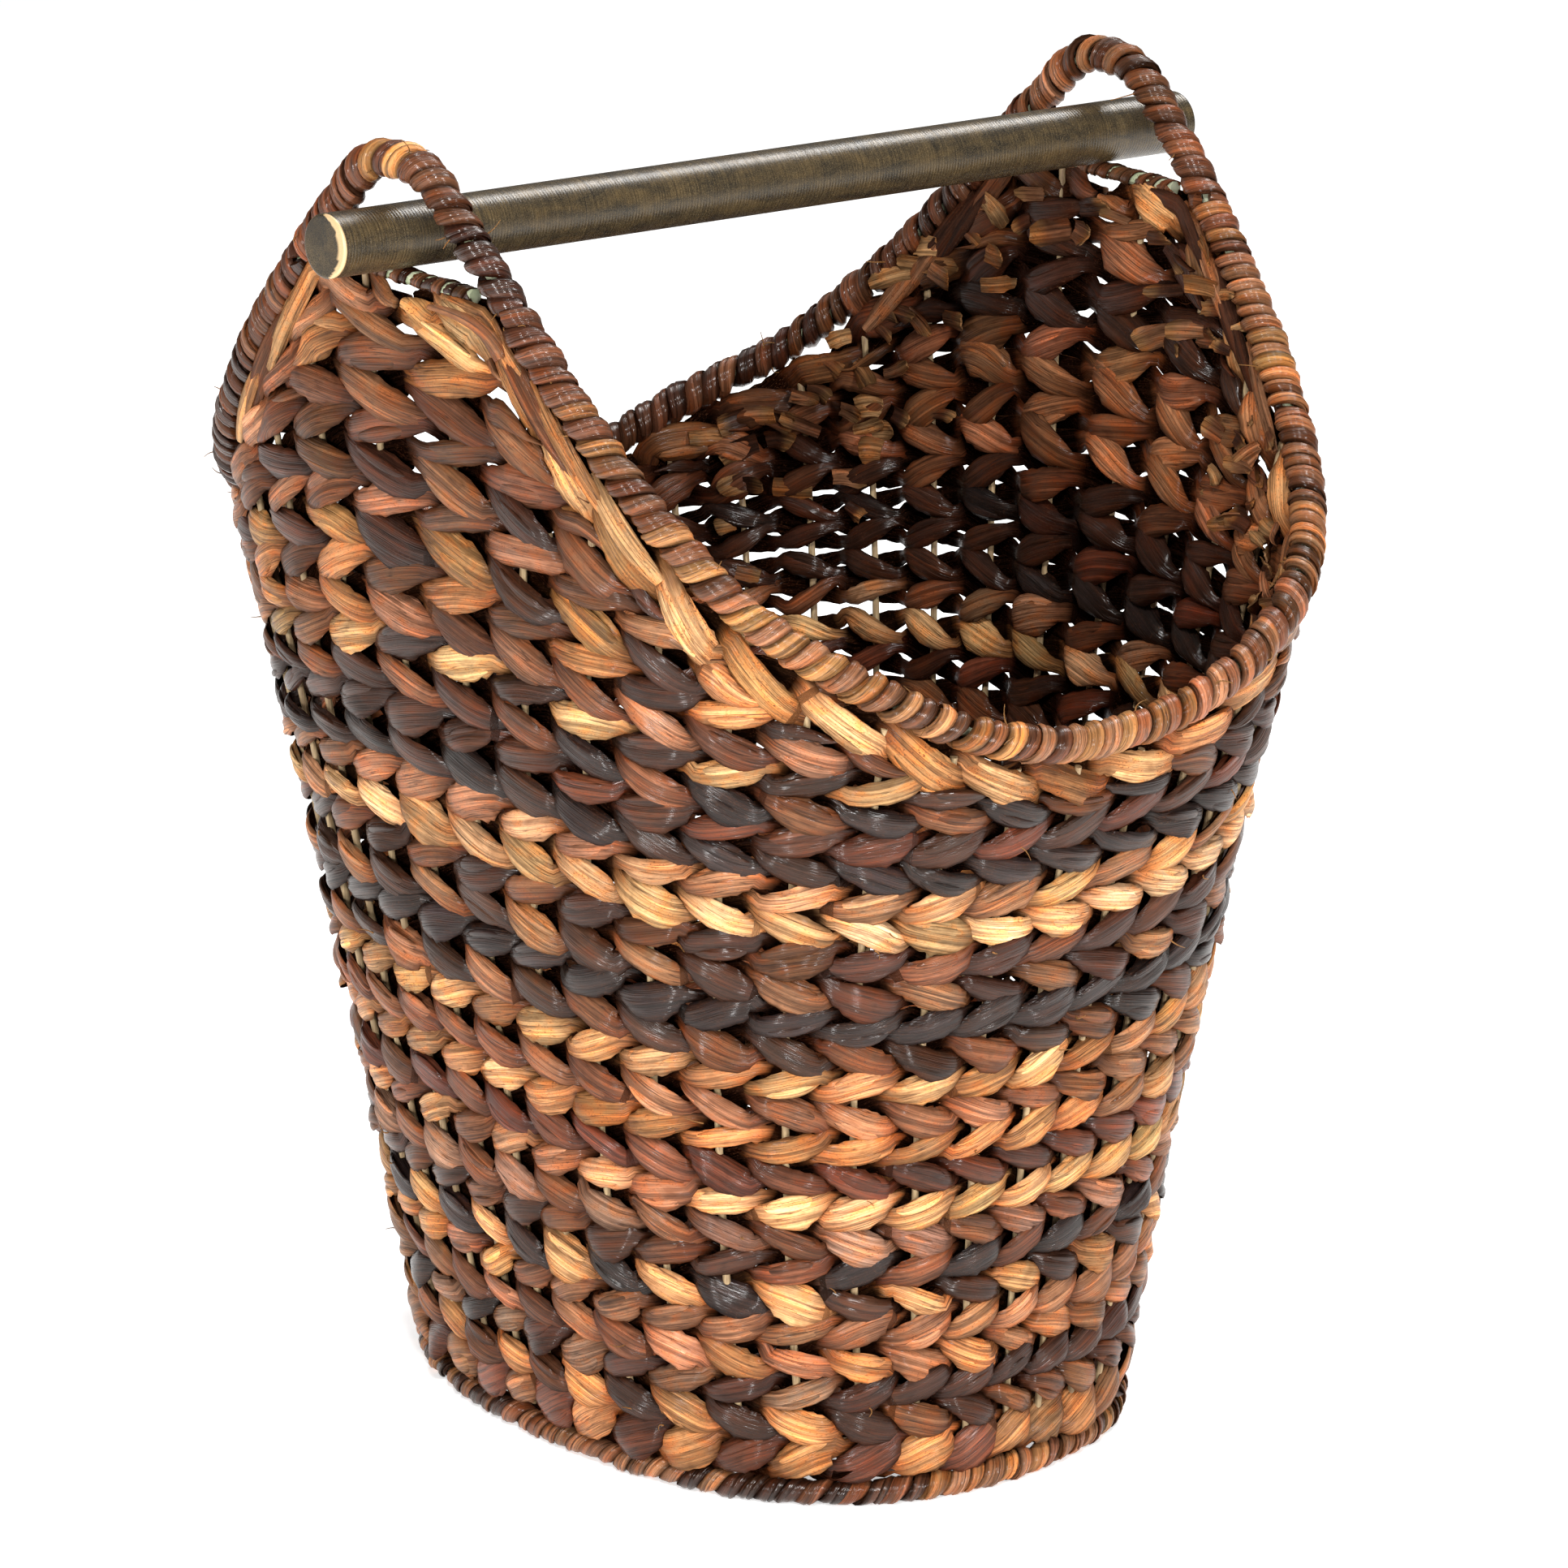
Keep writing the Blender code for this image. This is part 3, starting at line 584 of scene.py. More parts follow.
def painted(tree, shader, colour, roughness):
    tree.links.new(colour, shader.inputs["Base Color"])
    tree.links.new(roughness, shader.inputs["Roughness"])


def bumped(tree, shader, height, distance, sockets=("Normal", "Coat Normal"), strength=1.0):
    made = node(tree, "ShaderNodeBump")
    made.inputs["Distance"].default_value = distance
    made.inputs["Strength"].default_value = strength
    tree.links.new(height, made.inputs["Height"])
    for socket in sockets:
        tree.links.new(made.outputs["Normal"], shader.inputs[socket])


VEIN_INK = (0.030, 0.012, 0.007)
CREASE_INK = (0.016, 0.007, 0.005)
SPOT_INK = (0.070, 0.028, 0.014)
WARM_STAIN = (1.30, 0.84, 0.50)
DULL_STAIN = (0.62, 0.55, 0.50)
LEAF_RELIEF = 0.00034


def leaf_material(name, rough=0.37, coat=0.25, speckle=0.6, vein=1.0):
    """Dried leaf: lengthwise veins, blotches, speckles and a worn gloss."""
    made, tree, shader = new_material(name)
    leaf = attribute(tree, "leaf").outputs["Vector"]       # along the leaf, across it, its mark
    paint = attribute(tree, "tint")
    tint, gloss = paint.outputs["Color"], paint.outputs["Alpha"]
    broad = noise(tree, leaf, (14, 880, 3.7), 3.0, 0.6)
    fine = noise(tree, leaf, (40, 2500, 5.3), 1.0, 0.6)
    blotch = noise(tree, leaf, (85, 190, 2.1), 3.0, 0.6, 0.4)
    fold = noise(tree, leaf, (14, 430, 7.9), 2.0, 0.5)
    crease = math_node(tree, "ABSOLUTE", math_node(tree, "SUBTRACT", fold, 0.5))
    dots = noise(tree, leaf, (900, 1500, 9.0), 2.0, 0.6)
    colour = mixed(tree, 1.0, tint, spread(tree, broad, 0.32, 0.68, 0.60, 1.44), "MULTIPLY")
    lines = spread(tree, fine, 0.36, 0.56, 1.0, 0.0)
    colour = mixed(tree, math_node(tree, "MULTIPLY", lines, 0.34 * vein), colour, VEIN_INK)
    colour = mixed(tree, spread(tree, crease, 0.0, 0.018, 0.75, 0.0), colour, CREASE_INK)
    colour = mixed(tree, 1.0, colour, spread(tree, fold, 0.35, 0.65, 0.62, 1.42), "MULTIPLY")
    for far, stain in ((0.64, WARM_STAIN), (0.32, DULL_STAIN)):
        stained = mixed(tree, 1.0, colour, stain, "MULTIPLY")
        colour = mixed(tree, spread(tree, blotch, 0.46, far, 0.0, 0.80), colour, stained)
    spots = math_node(tree, "MULTIPLY", spread(tree, dots, 0.57, 0.66),
                      spread(tree, blotch, 0.35, 0.62))
    colour = mixed(tree, math_node(tree, "MULTIPLY", spots, speckle), colour, SPOT_INK)
    painted(tree, shader, colour, spread(tree, fine, 0.3, 0.7, rough - 0.04, rough + 0.16))
    tree.links.new(math_node(tree, "MULTIPLY", gloss, coat), shader.inputs["Coat Weight"])
    tree.links.new(spread(tree, gloss, 0.0, 1.0, 0.0, 0.14), shader.inputs["Specular IOR Level"])
    shader.inputs["Coat Tint"].default_value = (1.0, 0.93, 0.86, 1)
    shader.inputs["Specular Tint"].default_value = (1.0, 0.84, 0.70, 1)
    shader.inputs["Coat Roughness"].default_value = 0.15
    height = total(tree, (broad, 0.9), (fine, 0.45), (blotch, 0.5),
                   (spread(tree, crease, 0.0, 0.05, 0.0, 0.5), 1))
    bumped(tree, shader, height, LEAF_RELIEF, ("Normal",))
    bumped(tree, shader, total(tree, (broad, 0.7), (fine, 1)), LEAF_RELIEF, ("Coat Normal",))
    return made


def rattan_material(name):
    made, tree, shader = new_material(name)
    where = object_place(tree)
    grain = noise(tree, where, (900, 900, 45), 3.0)
    patch = noise(tree, where, (60, 60, 25), 2.0)
    colour = mixed(tree, spread(tree, grain, 0.3, 0.7), (0.22, 0.13, 0.065), (0.56, 0.41, 0.22))
    colour = mixed(tree, spread(tree, patch, 0.45, 0.7, 0, 0.6), colour, (0.30, 0.20, 0.10))
    painted(tree, shader, colour, spread(tree, grain, 0.3, 0.7, 0.5, 0.75))
    bumped(tree, shader, grain, 0.0004, strength=0.6)
    return made


def wire_material(name):
    made, tree, shader = new_material(name)
    patch = noise(tree, object_place(tree), (180, 180, 180), 3.0)
    colour = mixed(tree, spread(tree, patch, 0.35, 0.65), (0.30, 0.34, 0.20), (0.46, 0.48, 0.33))
    painted(tree, shader, colour, spread(tree, patch, 0.3, 0.7, 0.4, 0.6))
    bumped(tree, shader, patch, 0.0002, strength=0.5)
    return made


def bar_material(name):
    """Bronze paint rubbed over turned wood; "leaf" runs along and round the bar here."""
    made, tree, shader = new_material(name)
    leaf = attribute(tree, "leaf").outputs["Vector"]
    paint = attribute(tree, "tint")
    where = object_place(tree)
    grit = noise(tree, where, (2600, 2600, 2600), 3.0, 0.6)
    wear = noise(tree, where, (60, 160, 160), 4.0, 0.6, 0.6)
    rings = noise(tree, leaf, (1500, 25, 1), 2.0)
    colour = mixed(tree, spread(tree, wear, 0.35, 0.66, 0, 1.0), (0.026, 0.021, 0.014),
                   (0.100, 0.066, 0.028))
    colour = mixed(tree, spread(tree, grit, 0.46, 0.70, 0, 0.65), colour, (0.230, 0.165, 0.078))
    colour = mixed(tree, spread(tree, rings, 0.35, 0.60, 0.60, 0.0), colour, (0.012, 0.010, 0.008))
    colour = mixed(tree, 1.0, colour, paint.outputs["Color"], "MULTIPLY")
    wood = mixed(tree, spread(tree, grit, 0.3, 0.7), (0.78, 0.55, 0.30), (0.62, 0.40, 0.19))
    colour = mixed(tree, paint.outputs["Alpha"], colour, wood)
    painted(tree, shader, colour, spread(tree, grit, 0.3, 0.7, 0.22, 0.36))
    shader.inputs["Metallic"].default_value = 0.15
    shader.inputs["Specular IOR Level"].default_value = 0.5
    bumped(tree, shader, total(tree, (grit, 0.5), (rings, 1)), 0.00010, strength=0.8)
    return made


WEAVE = leaf_material("woven_leaf", rough=0.42, coat=0.50)
WRAP = leaf_material("wound_leaf", rough=0.34, coat=0.95, speckle=0.45, vein=0.8)
BORDER = leaf_material("border_leaf", rough=0.42, coat=0.40, speckle=0.9, vein=0.8)
RATTAN = rattan_material("rattan")
WIRE = wire_material("green_wire")
BRONZE = bar_material("bronze_paint")


# ---------------- rows
UNDER_BORDER = 0.0012  # rows reach this far up behind the border row
LEAST_ROW = 0.0030  # a row is never flatter than this
FIRST_LOOSE_ROW = 8  # the far wall is woven looser from here up: light shows through
LOOSE_SHARE = 0.22
LOOSE_LIFT = 0.16
DARK_COURSES_FROM = 7
EAR_HALF_SPAN = 9  # stakes on each side of an ear that its short rows can reach
EAR_OVERRUN = 0.35  # short rows run on past where they fit, in stakes
EAR_CLOSING = 0.45
BORDER_STITCH = 0.036  # length of a stitch of the long leaves
BORDER_STEPS = 14
CHORDS = 4000  # points for measuring along a curve


def row_path(row, place):
    """Middle, outward direction and half height of a row at places round the wall."""
    angle = angle_at(place)
    low = row_edge(row - 1, angle)
    high = np.minimum(row_edge(row, angle), border_edges(angle)[0] + UNDER_BORDER)
    high = np.maximum(high, low + LEAST_ROW)
    middle = (low + high) / 2
    centre = wall_point(angle, middle)
    return angle, centre, wall_out(angle, middle), (high - low) / 2 * levelness(centre)


def build_courses():
    for k in range(COURSES):
        store = Store()
        for row in range(ROWS_PER_COURSE * k + 1, ROWS_PER_COURSE * (k + 1) + 1):
            rng = np.random.default_rng(1000 + row)
            place = np.arange(STAKES * STEPS) / STEPS - 0.5
            angle, centre, out, reach = row_path(row, place)
            lean = 1 if row % 2 else -1
            behind = smooth(np.sin(angle) * 2.2)
            loose = behind * smooth((row - FIRST_LOOSE_ROW) / 5)
            centre[:, 2] += lean * LOOSE_LIFT * reach * loose
            tight = (1 - LOOSE_SHARE * loose) * (1 + 0.08 * smooth((row - 14) / 6) * (1 - behind))
            twine(store, rng, place, centre, out, reach, lean, ROW_LEAVES[row - 1], True, tight)
        name = f"course_{k + 1:02d}"
        slot = "leaf_dark" if k >= DARK_COURSES_FROM else "leaf_brown"
        store.build(name + "_weave", WEAVE, slot, (name + "_outer", name + "_inner"))


def build_ears():
    """Short rows that fill each ear up to the sill; a row stops where it has no room."""
    full = ROWS_PER_COURSE * COURSES
    for side, middle, seed, letters in (("left", STAKES / 2 - 0.5, 2050, ("otb", "bmd")),
                                        ("right", -0.5, 2000, ("bdm", "mbd"))):
        store = Store()
        for row in range(full + 1, full + EAR_ROWS + 1):
            rng = np.random.default_rng(seed + row)
            fine = middle + np.linspace(-EAR_HALF_SPAN, EAR_HALF_SPAN, 721)
            angle = angle_at(fine)
            room = border_edges(angle)[0] - row_edge(row - 1, angle)
            fits = fine[room > LEAST_ROW]
            if len(fits) < 2:
                continue
            start, stop = fits[0] - EAR_OVERRUN, fits[-1] + EAR_OVERRUN
            steps = max(4, round((stop - start) * STEPS))
            place = start + (stop - start) * np.arange(steps + 1) / steps
            angle, centre, out, reach = row_path(row, place)
            closing = smooth(np.minimum(place - start, stop - place) / EAR_CLOSING)
            reach = 1.12 * reach * (0.25 + 0.75 * closing)
            twine(store, rng, place, centre, out, reach, 1 if row % 2 else -1, letters, False,
                  tuck=0.0022 * (1 - closing))
        ear = f"ear_{side}"
        store.build(ear + "_weave", WEAVE, "leaf_red", (ear + "_outer", ear + "_inner"))


def build_borders():
    """The row of long leaves under the rim; its stitches are longer than the others."""
    for name, start, stop, letters in (("front", np.pi, 2 * np.pi, ("mto", "tbot")),
                                       ("back", 0.0, np.pi, ("mob", "bmd"))):
        store = Store()
        rng = np.random.default_rng(3100 + len(name))
        fine = np.linspace(start + 0.0005, stop - 0.0005, CHORDS)
        low, high = border_edges(fine)
        arc = arc_length(wall_point(fine, (low + high) / 2))
        samples = round(arc[-1] / BORDER_STITCH) * BORDER_STEPS
        angle = np.interp(np.linspace(0, arc[-1], samples + 1), arc, fine)
        low, high = border_edges(angle)
        middle = (low + high) / 2
        centre = wall_point(angle, middle)
        place = np.arange(samples + 1) / BORDER_STEPS
        reach = (high - low) / 2 * levelness(centre) * 1.22
        ends = np.minimum(place, place[-1] - place)
        reach = reach * (0.3 + 0.7 * smooth(ends / 0.4))
        twine(store, rng, place, centre, wall_out(angle, middle), reach, -1, letters, False,
              cross=0.72, swell=0.85)
        store.build(f"border_{name}_leaves", BORDER, "leaf_tan", (f"border_row_{name}",))


# ---------------- wound hoops
WOUND_LEAVES = 2
TURN_STEPS = 18  # sections of leaf for one turn
WOUND_LEAN = 0.10  # each turn lies a little over the one before it
FOLD_MARK = 17.3
RIM_TURN, RIM_TURN_RIGHT = 0.0170, 0.0050  # one turn's advance, and how much less far right
RIM_POINTS = 900
WIRE_POINTS = 160


def wind(store, rng, centre, out, radius, turn, letters, crown, fill=1.0, folded=0.80):
    """Two leaves wound side by side round a hoop; turn is the advance of one full turn there."""
    face = square_to(out, heading(centre))
    up = np.cross(face, heading(centre))
    arc = arc_length(centre)
    phase = np.concatenate([[0], np.cumsum(np.diff(arc) / ((turn[1:] + turn[:-1]) / 2))])
    at = np.linspace(0, phase[-1], int(phase[-1] * TURN_STEPS) + 1)
    s = np.interp(at, phase, arc)
    here, over, high = (np.stack([np.interp(s, arc, a[:, k]) for k in range(3)], -1)
                        for a in (centre, face, up))
    width = np.interp(s, arc, turn) / WOUND_LEAVES / 2
    for first in range(WOUND_LEAVES):
        begun = at + first / WOUND_LEAVES
        swing = 2 * np.pi * begun
        lap = np.floor(begun + 0.25).astype(int)
        tint, mark = leaf_runs(rng, letters, lap.max() + 2, 2, 5)
        table = rng.normal(0, 1, (lap.max() + 3, 4))
        ease = smooth(begun + 0.25 - lap)[:, None]
        further, shifted, rolled, wider = (table[lap] * (1 - ease) + table[lap + 1] * ease).T
        way = np.cos(swing)[:, None] * over + np.sin(swing)[:, None] * high
        path = here + way * (radius + 0.00035 * further)[:, None]
        path = path + heading(here) * (0.0008 * shifted)[:, None]
        roll = WOUND_LEAN + 0.12 * rolled
        half = width * fill * (1 + 0.12 * wider)
        # rim=0.92 paints dark shade into the gaps between the wound turns
        lay_leaf(store, rng, path, way, half, crown, tint[lap], mark[lap], roll=roll, cup=0.20,
                 fold=0.00030, shape=BEAD, rim=0.92)
        sideways = unit(np.cross(way, heading(path)))
        for k in range(lap.min(), lap.max() + 1):
            chosen, side, size, tone, begin = rng.random(5)
            inside = np.flatnonzero(lap == k)
            if chosen > folded or len(inside) < 14:
                continue
            i = inside[int(3 * begin):len(inside) - 2]
            share = np.linspace(0, 1, len(i))
            wide = half[i] * (0.36 + 0.30 * size) * tapered(share, 0.5)
            shift = (0.42 if side > 0.5 else -0.42) * half[i]
            lifted = crown * 0.72 + 0.0003 * np.sin(np.pi * share)
            line = path[i] + sideways[i] * shift[:, None] + way[i] * lifted[:, None]
            colour = toned(tint[lap[i]], 0.6 + 0.9 * tone)
            lay_leaf(store, rng, line, way[i], wide, 0.0006, colour, mark[lap[i]] + FOLD_MARK,
                     roll=roll[i] + 0.25 * (side - 0.5), cup=0.22, fold=0.00015, shape=BEAD,
                     rim=0.8)


def rim_angle_at(y):
    """Plan angle, in the first quarter, at which the rim reaches this y."""
    low, high = 0.0, math.pi / 2
    for _ in range(40):
        middle = (low + high) / 2
        if rim_point(np.array(middle))[1] < y:
            low = middle
        else:
            high = middle
    return low


def build_rim():
    end = rim_angle_at(LOOP_HALF_SPAN)
    lengths = (("loop_right", -end, end, "bbm"), ("back", end, np.pi - end, "bbd"),
               ("loop_left", np.pi - end, np.pi + end, "bdbo"),
               ("front", np.pi + end, 2 * np.pi - end, "bmob"))
    for name, start, stop, letters in lengths:
        store = Store()
        rng = np.random.default_rng(4000 + len(name) * 7 + int(100 * start))
        fine = np.linspace(start, stop, RIM_POINTS)
        arc = arc_length(rim_point(fine))
        angle = np.interp(np.linspace(0, arc[-1], RIM_POINTS), arc, fine)
        right = smooth((np.degrees(angle) - 292) / 30) * (name == "front")
        wind(store, rng, rim_point(angle), wall_out(angle, rim_height(angle)), 0.0055,
             RIM_TURN - RIM_TURN_RIGHT * right, letters, 0.0021)
        store.build(f"rim_{name}_winding", WRAP, "rim_leaf", (f"rim_wrap_{name}",))


def build_foot():
    store = Store()
    angle = np.linspace(0, 2 * np.pi, 1601)
    out = wall_out(angle, np.full(len(angle), FOOT_RADIUS))
    wind(store, np.random.default_rng(4400), wall_point(angle, FOOT_RADIUS), out, 0.0037,
         np.full(len(angle), 0.0165), "bmod", 0.0017)
    store.build("foot_winding", WRAP, "rim_leaf", ("foot_wrap",))


def build_sills():
    """Leaf wound on the wires that the bar lies on."""
    for side, angle in (("left", np.pi), ("right", 0.0)):
        lowest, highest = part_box(f"sill_wire_{side}")
        y = np.linspace(lowest.y + 0.001, highest.y - 0.001, WIRE_POINTS)
        x, z = (lowest.x + highest.x) / 2, (lowest.z + highest.z) / 2
        centre = np.stack([np.full(WIRE_POINTS, x), y, np.full(WIRE_POINTS, z)], -1)
        out = np.tile([math.cos(angle), 0.0, 0.0], (WIRE_POINTS, 1))
        store = Store()
        wind(store, np.random.default_rng(4500 + len(side)), centre, out, SILL_RADIUS - 0.0002,
             np.full(WIRE_POINTS, 0.0130), "bmd", 0.0006, fill=1.10, folded=0.0)
        store.build(f"sill_{side}_binding", WRAP, "rim_leaf")


# ---------------- loose ends
def curl(start, way, bend, length, count):
    """A path that sets off one way and bends towards another."""
    t = np.linspace(0, 1, count)[:, None]
    return start + length * (way * t * (1 - 0.35 * t) + bend * 0.65 * t * t)


def leaf_colour(rng, letters, darkest, lightest, gloss=None):
    """Colour and gloss of a short leaf."""
    letter = letters[int(rng.integers(len(letters)))]
    colour = np.array(PALETTE[letter]) * rng.uniform(darkest, lightest)
    return np.array([*colour, GLOSS[letter] * 0.5 if gloss is None else gloss])


END_POINTS = 9
LONG_POINTS = 14
PITH = np.array([0.22, 0.115, 0.048, 0.1])
FIBRE_TINT = (0.50, 0.27, 0.10, 0.3)


def cut_end(store, rng, start, way, bend, face):
    """One cut end of a leaf: a short curled strip with a pale spongy edge."""
    path = curl(start, way, bend, rng.uniform(0.007, 0.016), END_POINTS)
    base = leaf_colour(rng, "dbmmot", 0.5, 1.1)
    pale = PITH * rng.uniform(0.6, 1.3)
    share = smooth(np.linspace(-1.4, 1.1, END_POINTS))[:, None]
    tint = base * (1 - share) + pale * share
    along = np.linspace(0, 1, END_POINTS)
    half = rng.uniform(0.0030, 0.0058) * (0.75 + 0.35 * along ** 2)
    half[-1] *= rng.uniform(0.25, 0.80)
    half[-2] *= rng.uniform(0.60, 1.00)
    twist = rng.uniform(-0.9, 0.9) * along
    lay_leaf(store, rng, path, face, half, 0.0004, tint, rng.uniform(0, LAST_MARK), roll=twist,
             cup=rng.uniform(-0.55, 0.75), fold=0.0006, low=rng.uniform(0.7, 1.2),
             high=rng.uniform(0.7, 1.2), rim=0.3)


def wall_axes(angle, z):
    """Out of the basket, along the wall and up it, at one place."""
    out = wall_out(np.array(angle), np.array(z))
    along = unit(wall_point(angle + RIM_STEP, z) - wall_point(angle - RIM_STEP, z))
    return out, along, np.cross(out, along)


def build_cut_ends():
    """Ends of the short rows, cut and curled inside the ears below the rim."""
    for side, middle, count, reach in (("right", 0.0, 92, 52), ("left", math.pi, 46, 50)):
        store = Store()
        rng = np.random.default_rng(7000 + count)
        for _ in range(count):
            angle = middle + math.radians(reach) * rng.uniform(-1, 1)
            down = 0.010 + 0.045 * rng.random() ** 2.2
            limit = float(sill_height(np.array(angle))) - 0.008
            z = min(float(rim_height(np.array(angle))) - down * 1.5, limit - 0.02 * rng.random())
            out, along, up = wall_axes(angle, z)
            start = wall_point(angle, z) - out * rng.uniform(0.0035, 0.0062)
            way = unit(along * rng.choice((-1.0, 1.0)) + up * rng.uniform(-0.45, 0.45)
                       - out * rng.uniform(0.0, 0.3))
            bend = unit(way + up * rng.uniform(-0.8, 0.4) - out * rng.uniform(-0.1, 0.6))
            cut_end(store, rng, start, way, bend, -out)
        store.build(f"cut_ends_{side}", WEAVE, "leaf_red")


def long_leaf(store, rng, k, middle, sign, skin, letters):
    """One long leaf beside a loop; k counts down from the sill, skin is the side of the wall."""
    begin = 3.0 + 3.4 * k + rng.uniform(-0.6, 0.6)
    degrees = np.linspace(begin, begin + rng.uniform(7.5, 10.5), LONG_POINTS)
    angle = middle + sign * np.radians(degrees)
    share = np.linspace(0, 1, LONG_POINTS)
    z = below_rim(angle, 0.0085 + 0.0045 * share + 0.0010 * rng.uniform(-1, 1))
    z = np.minimum(z, sill_height(angle) - 0.0045 - 0.0040 * share)
    out = wall_out(angle, z) * skin
    path = wall_point(angle, z) + out * (0.0034 + 0.0018 * np.sin(np.pi * share))[:, None]
    half = 0.0050 * np.sin(np.pi * (0.12 + 0.80 * share)) ** 0.55 * rng.uniform(0.8, 1.1)
    tint = leaf_colour(rng, letters, 0.7, 1.2, 0.3)
    lay_leaf(store, rng, path, out, half, 0.0008, tint, rng.uniform(0, LAST_MARK),
             roll=rng.uniform(-0.2, 0.2), cup=0.2, fold=0.0004, rim=0.5)


def build_ear_leaves():
    """Long leaves that close the corners between each sill, the rim and the border row."""
    for side, middle, letters in (("left", math.pi, "tob"), ("right", 0.0, "bmd")):
        store = Store()
        rng = np.random.default_rng(7200 + len(side))
        for sign in (-1, 1):
            for skin in (1, -1):
                for k in range(5):
                    long_leaf(store, rng, k, middle, sign, skin, letters)
        store.build(f"ear_{side}_long_leaves", BORDER, "leaf_tan")


def fibre(store, rng, start, way, bend, longest):
    path = curl(start, way, bend, rng.uniform(0.004, longest), 8)
    rod_mesh(store, path, np.linspace(0.00034, 0.00014, 8), 6, FIBRE_TINT)


def build_loose_fibres():
    """Fibres that stand off the rim and the wall, a torn tip and a loose bit of leaf."""
    store = Store()
    rng = np.random.default_rng(7300)
    full = 2 * math.pi
    for k in range(64):
        angle = rng.uniform(math.pi * 0.93, math.pi * 1.10) if k < 22 else rng.uniform(0, full)
        z = float(rim_height(np.array(angle)))
        out, along, up = wall_axes(angle, z)
        turn = rng.uniform(0, full)
        off = out * math.cos(turn) + up * math.sin(turn)
        way = unit(off + along * rng.uniform(-1.2, 1.2))
        bend = unit(rng.normal(0, 1, 3))
        fibre(store, rng, wall_point(angle, z) + off * 0.0066, way, bend, 0.009)
    for _ in range(60):
        angle, z = rng.uniform(0, full), rng.uniform(0.03, 0.32)
        out, along, up = wall_axes(angle, z)
        way = unit(out * 0.4 + along * rng.uniform(-1, 1) + up * rng.uniform(-0.6, 0.6))
        bend = unit(rng.normal(0, 1, 3) + 0.3 * out)
        fibre(store, rng, wall_point(angle, z) + out * 0.0052, way, bend, 0.008)
    # the torn tip that stands off the left loop
    angle = math.pi + 0.135
    out, along, up = wall_axes(angle, 0.480)
    start = wall_point(angle, 0.478) + out * 0.0075
    path = curl(start, unit(up - along * 0.55), unit(out * 0.9 - along * 0.7 + up * 0.2), 0.030, 12)
    width = np.array([0.6, 0.9, 1.0, 1.0, 0.95, 0.95, 0.9, 0.9, 0.8, 0.75, 0.6, 0.4]) * 0.0046
    lay_leaf(store, rng, path, out, width, 0.0005, np.array([0.17, 0.07, 0.028, 0.4]), 88.0,
             roll=np.linspace(0.2, -0.7, 12), cup=0.5, fold=0.0005)
    # the loose bit of pale leaf on the front wall
    angle = math.radians(327)
    out, along, up = wall_axes(angle, 0.205)
    start = wall_point(angle, 0.203) + out * 0.0056
    for tilt, size in ((0.5, 0.0034), (-0.4, 0.0028)):
        path = curl(start, unit(out * 0.6 + along * 0.7 + up * tilt), unit(out + along), 0.014, 9)
        lay_leaf(store, rng, path, up, np.full(9, size), 0.0005, np.array([0.60, 0.38, 0.17, 0.2]),
                 120.0, roll=0.3, cup=0.9, fold=0.0004)
    store.build("loose_fibres", WRAP, "rim_leaf")


# ---------------- stakes, floor, bar
def rod_mesh(store, path, radius, sides=12, tint=(1, 1, 1, 1)):
    """A round rod along a path."""
    t = heading(path)
    helper = np.where(np.abs(t[:, 2:3]) > 0.8, [[0.0, 1.0, 0.0]], [[0.0, 0.0, 1.0]])
    first = square_to(helper, t)[:, None]
    second = np.cross(t, square_to(helper, t))[:, None]
    turn = 2 * np.pi * np.arange(sides) / sides
    ring = np.cos(turn)[None, :, None] * first + np.sin(turn)[None, :, None] * second
    verts = path[:, None] + column(radius, len(path))[..., None] * ring
    leaf = np.zeros(verts.shape)
    leaf[..., 0] = arc_length(path)[:, None]
    leaf[..., 1] = turn[None] * 0.01
    store.add(verts[:, ::-1], np.array(tint, float), leaf[:, ::-1], False)


def stake_path(angle, floor, way):
    """A stake from under the rim down the wall and round the bend into the floor."""
    top = np.minimum(below_rim(angle, 0.0097) - 0.0008, sill_height(angle) - SILL_RADIUS - SILL_GAP)
    z = np.linspace(float(top), floor + STAKE_BEND, 26)
    rise = wall_point(np.full(26, angle), z)
    corner = wall_point(angle, floor)
    lay = corner.copy()
    axis = 0 if way == "short" else 1
    lay[axis] -= math.copysign(STAKE_BEND, corner[axis])
    t = np.linspace(0, 1, 6)[1:, None]
    bend = (1 - t) ** 2 * rise[-1] + 2 * t * (1 - t) * corner + t * t * lay
    return np.vstack([rise, bend])


def build_stakes():
    """Bent rods, each up one side and the other: short ones along X, long ones along Y."""
    quarter = STAKES // 4
    angles = angle_at(np.arange(STAKES))
    pairs = []
    for k in range(quarter):
        t = angles[k]
        if k < quarter // 2:
            pairs += [("short", t, np.pi - t), ("short", -t, np.pi + t)]
        else:
            pairs += [("long", t, -t), ("long", np.pi - t, np.pi + t)]
    counts = {"short": 0, "long": 0}
    for way, first, second in pairs:
        counts[way] += 1
        floor = FLOOR_ROD_X_HEIGHT if way == "short" else FLOOR_ROD_Y_HEIGHT
        path_a, path_b = stake_path(first, floor, way), stake_path(second, floor, way)
        across = np.linspace(0, 1, 30)[1:-1, None]
        path = np.vstack([path_a, path_a[-1] + (path_b[-1] - path_a[-1]) * across, path_b[::-1]])
        rng = np.random.default_rng(5000 + counts[way] + (100 if way == "long" else 0))
        knots = np.convolve(rng.normal(0, 1, len(path)), [0.3, 0.4, 0.3], "same")
        store = Store()
        rod_mesh(store, path, 0.00145 + 0.00010 * knots)
        name = f"stake_{way}_{counts[way]:02d}"
        store.build(name + "_rattan", RATTAN, "stake", (name,))


